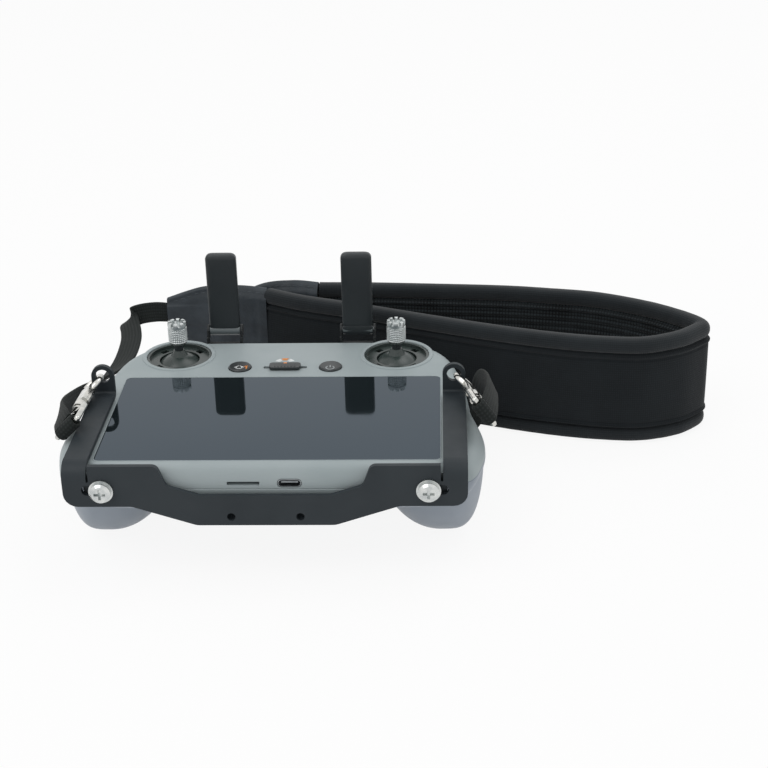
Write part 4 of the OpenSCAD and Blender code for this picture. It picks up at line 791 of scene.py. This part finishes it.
def make_prints(shell):
    """Flat marks, 0.03 mm proud, laid where the image points fall: a house and an arrow on the home
    key, the standard power sign on the power key, and three ticks behind the slider."""
    ink, arc_r, arc_w, arc_drop = 0.03, 3.4, 2.2, (0, -2.2)

    def lay(name, shapes, point, carrier, body, finish_name):
        place, _ = place_on(POINTS[point], carrier)
        x, y, z = np.array(place) / MM
        solid = Solid()
        for shape in shapes:
            solid.prism(np.array(shape) + (x, y), z - 0.01, z + ink)
        return solid.piece(name, finish_name, body=body)

    def stroke(ax, ay, bx, by, w=0.5):
        d = unit((bx - ax, by - ay)) * w / 2
        n = np.array([-d[1], d[0]])
        a, b = np.array([ax, ay]) - d, np.array([bx, by]) + d
        return [a - n, b - n, b + n, a + n]

    def arc(r, start, end, w=0.5):
        turn = np.radians(np.linspace(start, end, 24))
        rim = np.stack([np.cos(turn), np.sin(turn)], -1)
        return np.vstack([rim * (r + w / 2), rim[::-1] * (r - w / 2)])

    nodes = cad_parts
    lay("home_print", [stroke(-2.4, -0.2, -0.6, 1.5), stroke(-0.6, 1.5, 1.2, -0.2),
                       stroke(-1.8, -0.2, -1.8, -1.6), stroke(-1.8, -1.6, 0.6, -1.6),
                       stroke(0.6, -1.6, 0.6, -0.2)],
        "home_print", nodes["home_button"], "home_key", "white_ink")
    lay("home_arrow_print", [stroke(2.6, 1.2, 2.6, -1.4, 0.6), stroke(1.8, 0.5, 2.6, 1.4, 0.6)],
        "home_print", nodes["home_button"], "home_key", "orange_ink")
    lay("power_print", [arc(1.7, 125, 415), stroke(0, 0.5, 0, 2.1)],
        "power_print", nodes["power_button"], "power_key", "grey_ink")
    for name, ticks, ink_name in (("slider_tick_print", ((118, 158), (22, 62)), "white_ink"),
                                  ("slider_middle_print", ((70, 110),), "orange_ink")):
        lay(name, [arc(arc_r, start, end, arc_w) + arc_drop for start, end in ticks],
            "slider_print", shell, "controller", ink_name)


def make_slider_cap():
    """The mode slider's cap: a pillow whose top has seven grip ribs across it, and a notch of
    orange at its middle. Height is a squared cosine of the distance to the edge."""
    width, y0, y1 = 13.5, KEY_Y - 3.7, KEY_Y + 1.7
    foot, top = FACE_Z + 0.15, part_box("mode_slider")[1].z / MM
    rows = []
    for t, grow in ((0, 0.0), (0, 0.5), (0.35, 1.0), (0.75, 1.0), (0.93, 0.95), (1, 0.86)):
        outline = rounded_box(width - 1.2 * (1 - grow), (y1 - y0) - 1.2 * (1 - grow), 1.6)
        outline = np.vstack([outline, outline[:1]]) + (0, (y0 + y1) / 2)
        rows.append(np.column_stack([outline, np.full(len(outline), foot + t * (top - foot))]))
    cap = Solid().skin(np.array(rows))
    for i in range(-3, 4):
        bar = rounded_box(0.5, 3.2, 0.2) + (1.4 * i, (y0 + y1) / 2 - 0.3)
        cap.prism(bar, top - 0.2, top + 0.18)
    cap.prism(rounded_box(13.1, 1.8, 0.4) + (0, KEY_Y), FACE_Z - 2.6, FACE_Z + 0.4)
    cap.prism(rounded_box(15.5, 4, 0.8) + (0, KEY_Y), FACE_Z - 3.4, FACE_Z - 2.5)
    cap.piece("mode_slider_cap", "black_plastic", body="mode_switch", stands_for=["mode_slider"])
    mark = Solid().prism(rounded_box(1.4, 1.2, 0.3) + (0, y1 - 0.8), top - 0.1, top + 0.06)
    mark.piece("slider_mark", "orange_ink", body="mode_switch")


# ---------------------------------------------------------------- antennas

def make_antenna(side):
    """A folding paddle: a squared ellipse of power 5 swept up, shrinking over the tip's quarter
    round, on a barrel that is bored for the hinge pin."""
    word = WORDS[side]
    low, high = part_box(word + "_antenna")
    mid, y, z = side * HINGE_X, HINGE_Y, HINGE_Z
    half_w, half_t, tip = (high.x - low.x) / 2 / MM, 2.15, 2.4
    top = high.z / MM
    cx, cy = squared_ellipse(64, 0.4, 0.4)
    rows = []
    for h, grow in [(z + 1.5, 0.96), (z + 1.9, 1.0)] + [(q, 1.0) for q in
                                                        np.linspace(z + 4, top - tip, 12)]:
        rows.append(level(mid + half_w * grow * cx, y + half_t * grow * cy, h))
    for a in np.radians(np.linspace(8, 88, 11)):
        shrink = 1 - math.cos(a)
        rows.append(level(mid + (half_w - tip * shrink) * cx, y + (half_t - 1.1 * shrink) * cy,
                          top - tip + tip * math.sin(a)))
    paddle = Solid().skin(np.array(rows))
    # The barrel's grey finish is a painted highlight on black plastic
    barrel = [(1.06, -half_w), (2.2, -half_w), (2.4, 0.2 - half_w), (2.4, half_w - 0.2),
              (2.2, half_w), (1.06, half_w)]
    Solid().lathe(barrel, (mid, y, z), (1, 0, 0), 48, ring=True).piece(
        word + "_antenna_barrel", "barrel_painted_highlight", body=word + "_aerial")
    if side > 0:
        flap = [level(mid + half_w * g * cx, y - 1.85 + 0.55 * g * cy, h)
                for h, g in ((z - 1.6, 0.8), (z - 1.3, 1), (z + 2, 1), (z + 2.4, 0.9))]
        paddle.skin(np.array(flap))
    return paddle.piece(word + "_antenna_paddle", "antenna_plastic", body=word + "_aerial",
                        stands_for=[word + "_antenna"])


# ---------------------------------------------------------------- strap

# The strap's lines, in mm, as part.scad has them: the pad's foot x, y, its head x, y and height
PAD_LINE = [
    [-15, 127.5, -15, 128, 50], [2, 118.5, 2, 118.5, 50], [26, 109, 26, 109, 50],
    [47, 100, 47, 100, 50], [68, 91, 68, 91, 50], [87.8, 83, 87.8, 83, 50],
    [104.3, 77, 104.3, 77, 50], [121.3, 71.8, 121.3, 71.8, 50], [138.4, 68.3, 138.4, 68.3, 50],
    [155.5, 67.2, 155.5, 67.2, 50], [171, 72, 171, 73.2, 50], [180.4, 79.6, 180.4, 81, 50],
    [183.4, 85, 183.4, 85.2, 50], [181.2, 90.6, 181.2, 90.6, 50], [174, 98.4, 174, 98.4, 50],
    [161, 108.6, 161, 108.6, 50], [140, 119.5, 140, 119.5, 50], [118, 124.9, 118, 124.9, 50],
    [94.8, 129, 94.8, 129, 50], [57, 132.3, 57, 132.3, 50], [33, 134, 33, 134, 50],
    [9, 134.8, 9, 134.8, 50]]
# The leather ends: x, y, lowest and highest z, from the pad out to the webbing
NEAR_LEATHER = [[-15.6, 127.9, 0.4, 50.4], [-28, 129, 0.6, 51.4], [-44, 129.6, 8, 51],
                [-54, 129.6, 20, 48.6], [-64, 129.6, 31.4, 45]]
FAR_LEATHER = [[8.4, 134.8, 0.4, 50.4], [-4, 136.6, 0.6, 50.8], [-20, 139, 3, 48],
               [-38, 141, 14, 38]]
# The webbing's places, each with the way that its width points
LEFT_WEB = [
    [-64.4, 129.6, 37.6, 0, 0, 1], [-70, 129.6, 37.8, 0, 0.1, 1], [-77, 129.2, 37, 0.15, 0.2, 1],
    [-81.4, 127.4, 35.8, 0.5, 0.4, 0.75], [-81.8, 122.4, 35.2, 0.85, 0.35, 0.4],
    [-79.6, 114, 34.8, 1, 0.1, 0.2], [-77.8, 104, 34.4, 1, 0, 0.1], [-77, 90, 34.2, 1, 0, 0.1],
    [-77.4, 78, 34.4, 1, 0, 0.2], [-79.4, 66, 35, 0.9, 0, 0.4], [-83.8, 50, 36, 0.6, 0, 0.8],
    [-87, 37, 38, 0.2, 0, 1], [-88.4, 24, 41, 0.1, 0.2, 1], [-88.4, 12, 44.4, 0.1, 0.2, 1],
    [-87.4, 2, 47, 0.2, 0.2, 1], [-85.4, -7, 50, 0.45, 0, 0.9], [-83, -14, 52, 0.6, 0, 0.8],
    [-81.3, -18.4, 52.4, 0.7, 0, 0.7]]
RIGHT_WEB = [
    [85.4, -17.2, 57.8, -0.58, 0, 0.81], [86.4, -11, 58, -0.5, 0, 0.86],
    [87.2, -2, 57, -0.4, 0, 0.9], [87.4, 10, 54.6, -0.4, 0.1, 0.9], [86.6, 22, 51, -0.4, 0.1, 0.9],
    [85.4, 34, 46, -0.5, 0.1, 0.85], [84.6, 46, 38, -0.7, 0.3, 0.6], [83.4, 55, 27, -0.8, 0.4, 0.3],
    [80.6, 62, 14, -0.8, 0.6, 0], [74, 68, 5, -0.5, 0.8, 0], [62, 72, 1.2, -0.2, 1, 0],
    [44, 76, 1, -0.2, 1, 0], [22, 82, 1, -0.4, 0.9, 0], [-4, 92, 1, -0.4, 0.9, 0],
    [-30, 104, 1, -0.5, 0.9, 0], [-50, 118, 1, -0.8, 0.6, 0], [-60, 134, 1.2, -1, 0, 0],
    [-60.5, 146, 4, -0.9, -0.3, 0.3], [-54, 148, 13, -0.5, 0, 0.8], [-46, 144.5, 24.4, 0, 0, 1],
    [-38.4, 141.2, 25.6, 0, 0, 1]]
PAD_H, PAD_T, EDGE_T, EDGE_H = 50, 7, 8, 7
WEB_W, WEB_T, LEATHER_T = 9.8, 1.5, 8.6
HOOK_LEN, WIRE_R = 36.4, 1.2
CLAW_MIDDLE = (76.93, 16.6, 52.26)
HOOK_WAYS = {-1: (-2.7, -35.2, -1.5), 1: (6.6, -34.2, 4.2)}
EYE_HINTS = {-1: (0.7, 0, 0.7), 1: (-0.58, 0, 0.81)}


def side_of(rows):
    """Level unit vectors square to a line of rows that start with x and y."""
    way = unit(np.gradient(rows[:, :2], axis=0))
    return np.column_stack([-way[:, 1], way[:, 0], 0 * way[:, 0]])


def pad_frame(steps):
    """For rows along the pad: its foot, the vector up its height, its side normal and length."""
    rows = through(PAD_LINE, steps)
    side = side_of(rows)
    foot = np.column_stack([rows[:, :2], np.full(len(rows), 0.2)])
    head = rows[:, 2:]
    return foot, head - foot, side, arc_length((foot + head) / 2)


def sweep_profile(steps, share, offset):
    """A closed profile of (share of the height, offset to the side) carried along the pad. Either
    may differ by row; gives the grid, and its UV in mm along and round the profile."""
    foot, up, side, run = pad_frame(steps)
    rows = len(foot)
    share = np.broadcast_to(share, (rows, share.shape[-1]))
    offset = np.broadcast_to(offset, (rows, offset.shape[-1]))
    grid = foot[:, None] + up[:, None] * share[..., None] + side[:, None] * offset[..., None]
    around = arc_length(np.column_stack([share[0] * PAD_H, offset[0]]))
    uv = np.stack([np.broadcast_to(run[:, None], share.shape),
                   np.broadcast_to(around[None], share.shape)], -1)
    return grid, uv


def make_pad(sizes):
    """The neoprene pad: crowned over its height and pulled in at the bindings, with a sewn ridge
    beside each binding on both faces. The inner face is cosine ribs, and a slow wave along the
    length gives the soft material its unevenness."""
    low, high = EDGE_H / PAD_H - 0.035, 1 - EDGE_H / PAD_H + 0.035
    q_in = np.linspace(0, 1, 150)
    q_out = np.linspace(1, 0, 70)

    def hold(q):
        """Half thickness: thin where the binding grips it, full 2 mm further in."""
        from_edge = np.minimum(q, 1 - q) * (high - low) * PAD_H
        full = PAD_T / 2 - 1.5 * (1 - ease((from_edge - 1.4) / 1.6))
        ridge = 0.75 * np.exp(-((from_edge - 3.1) / 0.55) ** 2)
        groove = 0.45 * np.exp(-((from_edge - 4.3) / 0.4) ** 2)
        return full + ridge - groove, from_edge

    inner, from_edge = hold(q_in)
    ribs = sizes.rib_depth / MM * np.cos(2 * math.pi * q_in * (high - low) * PAD_H
                                         / (sizes.rib_pitch / MM))
    inner = inner + ribs * ease((from_edge - 5) / 1.5)
    outer = hold(q_out)[0] + 0.35 * np.sin(math.pi * q_out)
    share = low + (high - low) * np.concatenate([q_in, q_out, q_in[:1]])
    offset = np.concatenate([inner, -outer, inner[:1]])
    run = pad_frame(12)[3][:, None]
    wave = 0.22 * np.sin(run / 9.0 + 5 * share) * np.sin(run / 23.0 + 1) * np.sign(offset)
    belly = np.clip((share - low) * (high - share) * 30, 0, 1)
    grid, uv = sweep_profile(12, share, offset + wave * belly)
    slots = np.where(np.arange(len(share) - 1) < len(q_in) - 1, 1, 0)
    pad = Solid().skin(grid, uv, slots).piece(
        "strap_pad", "pad_fabric", "pad_mesh", body="controller", stands_for=["neck_pad"],
        slot="pad_fabric", sharp=60)


def make_bindings():
    """Tape rolled over the pad's two long edges: a squared ellipse whose radius ripples a little
    along its length, as stretched tape does between stitches."""
    c, s = squared_ellipse(40, 0.8, 0.85)
    run = pad_frame(14)[3][:, None]
    ripple = 1 + 0.02 * np.sin(run / 1.3) * np.sin(run / 17)
    binding = Solid()
    for middle in (EDGE_H / 2, PAD_H - EDGE_H / 2):
        share = (middle + EDGE_H / 2 * s) / PAD_H
        offset = EDGE_T / 2 * c * ripple
        grid, uv = sweep_profile(14, share, offset * 0.96)
        binding.skin(grid, uv)
    binding.piece("pad_edge_bindings", "binding_tape", body="controller",
                  stands_for=["pad_bindings"], sharp=60)


def stitch_shape(length, width):
    """One stitch along x, a thin ellipsoid."""
    turn = np.linspace(0, 2 * math.pi, 7)
    along = np.linspace(-1, 1, 6)
    r = np.sqrt(np.maximum(0, 1 - along ** 2))[:, None] * width / 2
    return np.stack([along[:, None] * length / 2 + 0 * turn, r * np.cos(turn),
                     r * np.sin(turn) * 0.8], -1)


def make_leather(sizes):
    """Two pointed leather ends: rows from the pad to the webbing, each a section that is pinched
    at its sewn edges, full over the pad's end and flat further out, and raised over the webbing
    sewn inside. A hem is pressed in beside the pad. Stitches follow both edges, 2.4 mm in, on both
    faces."""
    ends, threads = Solid(), Solid()
    shape = stitch_shape(sizes.stitch / MM, 0.5)
    half_count, span, inset = 50, 3.3, 2.4
    for line, web_z in ((NEAR_LEATHER, 37), (FAR_LEATHER, 26)):
        rows = through(line, 10)
        side = side_of(rows)
        run = arc_length(rows[:, :2])
        share = run / run[-1]
        q = np.linspace(0, 1, half_count)
        q = np.concatenate([q, np.linspace(1, 0, half_count), [0]])
        sign = np.concatenate([np.ones(half_count), -np.ones(half_count), [1]])
        low, high = rows[:, 2:3], rows[:, 3:4]
        z = low + (high - low) * q
        from_edge = np.minimum(z - low, high - z)
        full = (LEATHER_T / 2 * (1 - 0.45 * ease((share - 0.2) / 0.6)))[:, None]
        half = 1.1 + (full - 1.1) * ease((from_edge - 0.1) / 5.5) ** 0.8
        half = half + 0.45 * np.exp(-((from_edge - 0.9) / 0.8) ** 2)
        over = ease((5.6 - np.abs(z - web_z)) / 1.2) * ease((share[:, None] - 0.25) / 0.2)
        half = half + 0.5 * over
        hem = np.exp(-((run[:, None] - 5.4) / 0.7) ** 2) * ease(from_edge / 5)
        half = half - 0.5 * hem
        half = half * (1 - 0.75 * (q[None] <= 0) - 0.75 * (q[None] >= 1))
        grid = np.stack([rows[:, :1] + side[:, :1] * half * sign,
                         rows[:, 1:2] + side[:, 1:2] * half * sign, z], -1)
        ends.skin(grid)
        count = int(run[-1] / span)
        for edge in (-1, 1):
            for face in (-1, 1):
                at = np.interp((np.arange(count) + 0.5) * span, run, np.arange(len(rows)))
                i = np.clip(at.astype(int), 0, len(rows) - 2)
                bottom, top = rows[i, 2], rows[i, 3]
                height = np.where(edge < 0, bottom + inset, top - inset)
                k = np.array([np.argmin(np.abs(z[n, :half_count] - h))
                              for n, h in zip(i, height)])
                column = np.where(face > 0, k, 2 * half_count - 1 - k)
                base = grid[i, column]
                axes = [frame_of(side[n] * face, d).T
                        for n, d in zip(i, grid[i + 1, column] - base)]
                threads.repeat(shape, base, axes)
    ends.piece("leather_strap_ends", "strap_leather", body="controller",
               stands_for=["leather_ends"], sharp=55)
    threads.piece("leather_stitches", "thread", body="controller")


def web_section():
    """Section of the webbing, across and through: flat faces with a raised cord at each edge."""
    c, s = squared_ellipse(32, 0.35, 0.55)
    across = WEB_W / 2 * c
    cord = 1 + 0.18 * np.exp(-((np.abs(across) - 4) / 0.5) ** 2)
    return across, WEB_T / 2 * s * cord * 0.9


def web_grid(line, steps):
    """The section carried along a line of places whose width points as each row says."""
    rows = through(line, steps)
    place = rows[:, :3]
    way = unit(np.gradient(place, axis=0))
    wide = unit(rows[:, 3:] - (rows[:, 3:] * way).sum(1, keepdims=True) * way)
    thick = np.cross(way, wide)
    across, deep = web_section()
    grid = (place[:, None] + wide[:, None] * across[None, :, None]
            + thick[:, None] * deep[None, :, None])
    run = arc_length(place)
    uv = np.stack([np.broadcast_to(run[:, None], grid.shape[:2]),
                   np.broadcast_to(across[None] + 10, grid.shape[:2])], -1)
    return grid, uv


def make_webbing(side, line):
    """One side's webbing, from its leather end to the loop that it makes round the hook's eye."""
    grid, uv = web_grid(line, 12)
    web = Solid().skin(grid, uv)
    middle = np.array([side * CLAW_MIDDLE[0], *CLAW_MIDDLE[1:]])
    way = unit(HOOK_WAYS[side])
    bar = middle + way * (HOOK_LEN - WIRE_R)
    axes = frame_of(way, EYE_HINTS[side])
    turn = np.linspace(0, 2 * math.pi, 41)
    across, deep = web_section()
    r = WIRE_R + 0.3 + WEB_T / 2 + deep
    local = np.stack([np.broadcast_to(across, (41, len(across))),
                      np.cos(turn)[:, None] * r, np.sin(turn)[:, None] * r], -1)
    loop_uv = np.stack([np.broadcast_to(turn[:, None] * 2.2, local.shape[:2]),
                        np.broadcast_to(across + 10, local.shape[:2])], -1)
    web.skin(local @ axes.T + bar, loop_uv, capped=False)
    web.piece(WORDS[side] + "_woven_strap", "strap_webbing", body="controller",
              stands_for=[WORDS[side] + "_webbing"], sharp=60)


# ---------------------------------------------------------------- CAD nodes that stay

# Each finish, and the CAD nodes that show as they are and get it
NODE_FINISH = {
    "cover_glass": "cover_glass",
    "display": "display_panel",
    "die_cast": "mid_frame heat_sink left_gimbal_yoke right_gimbal_yoke",
    "circuit_board": "main_board port_board key_board",
    "tin_plate": "shield_cans usb_socket card_socket",
    "black_plastic": ("fan_frame fan_rotor cell_saddles speaker home_button power_button "
                      "left_gimbal_housing right_gimbal_housing left_stick_shaft "
                      "right_stick_shaft left_dial right_dial shutter_button left_back_button "
                      "right_back_button"),
    "cell_wrap": "battery_cells",
    "switch_plastic": "tact_switches",
    "well_plastic": "gimbal_covers left_stick_dome right_stick_dome",
    "pin_steel": "dial_axles antenna_pins casing_screws gate_pins",
    "red_plastic": "record_button",
    "ear_plastic": "antenna_brackets",
    "bracket_paint": "harness_plate",
    "black_oxide": "nut_plates",
    "zinc_plate": "clamp_screws clamp_washers",
    "pad_rubber": "bracket_pads",
    "hook_nickel": "left_hook right_hook left_hook_gate right_hook_gate hook_eyes",
}


def finish_nodes():
    """Gives each CAD node that shows its material."""
    for finish_name, names in NODE_FINISH.items():
        for name in names.split():
            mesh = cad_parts[name].data
            mesh.materials.clear()
            mesh.materials.append(finish(finish_name))


# ---------------------------------------------------------------- stage

FLOOR_HW, FLOOR_Y, FLOOR_Z = 6, (-6, 8), -0.0004
# How much of the floor the camera sees as plain white; the rest is lit, and holds the shadow
FLOOR_WHITE = 0.9
# Each lamp's place and size in metres, and its share of the key power
LAMPS = {"key_lamp": ((-0.5, -0.5, 1.1), 0.9, 1.0), "top_lamp": ((0.5, 0.35, 1.2), 0.8, 0.7)}
LAMP_AIM = (0.04, 0.04, 0.03)


def make_stage(colours):
    """A plain pale floor that keeps the object's shadow, an even world that the camera and glossy
    rays see as white, and two soft lamps."""
    mesh = bpy.data.meshes.new("floor")
    near, far, hw = FLOOR_Y[0], FLOOR_Y[1], FLOOR_HW
    mesh.from_pydata([(-hw, near, 0), (hw, near, 0), (hw, far, 0), (-hw, far, 0)], [],
                     [(0, 1, 2, 3)])
    mesh.transform(Matrix.Translation((0, 0, FLOOR_Z)))
    floor = bpy.data.objects.new("floor", mesh)
    bpy.context.scene.collection.objects.link(floor)
    made, tree, shader = finish_of("pale_paper_floor", {"Base Color": linear("#f6f6f6"),
                                                        "Roughness": 0.9,
                                                        "Specular IOR Level": 0.0})
    glow = add(tree, "ShaderNodeEmission", {"Color": (*colours.backdrop, 1), "Strength": 1.0})
    mix = add(tree, "ShaderNodeMixShader", {0: 0.0, 1: shader.outputs[0], 2: glow.outputs[0]})
    tree.links.new(seen_white(tree, FLOOR_WHITE), mix.inputs[0])
    tree.links.new(mix.outputs[0], tree.nodes["Material Output"].inputs["Surface"])
    mesh.materials.append(made)
    floor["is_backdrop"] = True

    world = bpy.data.worlds.new("studio")
    world.use_nodes = True
    bpy.context.scene.world = world
    tree = world.node_tree
    even = tree.nodes["Background"]
    even.inputs["Color"].default_value = (1, 1, 1, 1)
    even.inputs["Strength"].default_value = colours.fill
    white = add(tree, "ShaderNodeBackground", {"Color": (*colours.backdrop, 1), "Strength": 1.0})
    mix = add(tree, "ShaderNodeMixShader", {0: seen_white(tree, 1.0), 1: even.outputs[0],
                                            2: white.outputs[0]})
    tree.links.new(mix.outputs[0], tree.nodes["World Output"].inputs["Surface"])

    for name, (place, size, share) in LAMPS.items():
        data = bpy.data.lights.new(name, "AREA")
        data.size, data.energy = size, colours.key * share
        lamp = bpy.data.objects.new(name, data)
        lamp.location = place
        way = Vector(LAMP_AIM) - Vector(place)
        lamp.rotation_euler = way.to_track_quat("-Z", "Y").to_euler()
        bpy.context.scene.collection.objects.link(lamp)
    bpy.context.scene.view_settings.view_transform = "Standard"


def seen_white(tree, share):
    """share for camera, glossy and transmitted rays, and 0 for those that light the object."""
    path = add(tree, "ShaderNodeLightPath")
    seen = join(tree, "MAXIMUM", path.outputs["Is Camera Ray"], path.outputs["Is Glossy Ray"])
    seen = join(tree, "MAXIMUM", seen, path.outputs["Is Transmission Ray"])
    return join(tree, "MULTIPLY", seen, share)


# ---------------------------------------------------------------- operators

class CONTROLLER_OT_stage(bpy.types.Operator):
    """The camera, the floor, the world and the lamps."""

    bl_idname = "controller.stage"
    bl_label = "Stage and camera"

    def execute(self, context):
        make_camera()
        make_stage(context.scene.controller_colours)
        return {"FINISHED"}


class CONTROLLER_OT_casing(bpy.types.Operator):
    """The two halves of the casing, carved and rimmed."""

    bl_idname = "controller.casing"
    bl_label = "Casing"

    def execute(self, context):
        make_top_shell(context.scene.controller_sizes)
        make_bottom_shell(context.scene.controller_sizes)
        return {"FINISHED"}


class CONTROLLER_OT_controls(bpy.types.Operator):
    """The knurled knobs, the slider's cap and the prints on the face."""

    bl_idname = "controller.controls"
    bl_label = "Knobs, slider and prints"

    def execute(self, context):
        for side in (-1, 1):
            make_knob(context.scene.controller_sizes, side)
        make_slider_cap()
        make_prints(bpy.data.objects["top_casing_shell"])
        return {"FINISHED"}


class CONTROLLER_OT_antennas(bpy.types.Operator):
    """The two folding antennas."""

    bl_idname = "controller.antennas"
    bl_label = "Antennas"

    def execute(self, context):
        for side in (-1, 1):
            make_antenna(side)
        return {"FINISHED"}


class CONTROLLER_OT_pad(bpy.types.Operator):
    """The strap's neoprene pad and its bindings."""

    bl_idname = "controller.pad"
    bl_label = "Neck pad"

    def execute(self, context):
        make_pad(context.scene.controller_sizes)
        make_bindings()
        return {"FINISHED"}


class CONTROLLER_OT_straps(bpy.types.Operator):
    """The leather ends with their stitches, and the webbing."""

    bl_idname = "controller.straps"
    bl_label = "Leather and webbing"

    def execute(self, context):
        make_leather(context.scene.controller_sizes)
        make_webbing(-1, LEFT_WEB)
        make_webbing(1, RIGHT_WEB)
        return {"FINISHED"}


class CONTROLLER_OT_nodes(bpy.types.Operator):
    """Materials for the CAD nodes that show as they are."""

    bl_idname = "controller.nodes"
    bl_label = "CAD nodes"

    def execute(self, context):
        finish_nodes()
        return {"FINISHED"}


STEPS = (CONTROLLER_OT_stage, CONTROLLER_OT_casing, CONTROLLER_OT_controls,
         CONTROLLER_OT_antennas, CONTROLLER_OT_pad, CONTROLLER_OT_straps, CONTROLLER_OT_nodes)


class CONTROLLER_PT_panel(bpy.types.Panel):
    """Lists the pieces in the 3D view's sidebar."""

    bl_label = "Controller"
    bl_space_type = "VIEW_3D"
    bl_region_type = "UI"
    bl_category = "Controller"

    def draw(self, context):
        for step in STEPS:
            self.layout.operator(step.bl_idname)
        for group in (context.scene.controller_sizes, context.scene.controller_colours):
            for key in group.__annotations__:
                self.layout.prop(group, key)


CLASSES = (ControllerSizes, ControllerColours, *STEPS, CONTROLLER_PT_panel)


def register():
    """Registers the classes and hangs the two groups of settings on the scene."""
    for cls in CLASSES:
        bpy.utils.register_class(cls)
    bpy.types.Scene.controller_sizes = PointerProperty(type=ControllerSizes)
    bpy.types.Scene.controller_colours = PointerProperty(type=ControllerColours)


def unregister():
    """Takes back what register did."""
    del bpy.types.Scene.controller_colours
    del bpy.types.Scene.controller_sizes
    for cls in reversed(CLASSES):
        bpy.utils.unregister_class(cls)


def vertices_of(made):
    """A finished piece's vertices, modifiers included, as (n, 3) in metres."""
    mesh = made.evaluated_get(bpy.context.evaluated_depsgraph_get()).to_mesh()
    flat = np.zeros(len(mesh.vertices) * 3, np.float32)
    mesh.vertices.foreach_get("co", flat)
    return flat.reshape(-1, 3)


def write_points():
    """Projects the shown pieces' vertices, the knobs, the near heads of the clamp screws and the
    prints into the image's frame; the results are not kept."""
    seen = np.vstack([seen_at(vertices_of(piece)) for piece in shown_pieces()])
    for word in ("left", "right"):
        knob = seen_at(vertices_of(bpy.data.objects[word + "_knurled_knob"]))
        head = vertices_of(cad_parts["clamp_screws"])
        head = head[(head[:, 0] < 0) == (word == "left")]
        head = seen_at(head[head[:, 1] < head[:, 1].min() + 0.5 * MM])
    for name, piece in (("home_print", "home_print"), ("power_print", "power_print"),
                        ("slider_print", "slider_tick_print")):
        found = seen_at(vertices_of(bpy.data.objects[piece]))


def main():
    """Builds everything in order."""
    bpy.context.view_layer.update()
    register()
    for step in STEPS:
        area, name = step.bl_idname.split(".")
        getattr(getattr(bpy.ops, area), name)()
    write_points()


if __name__ == "__main__":
    main()
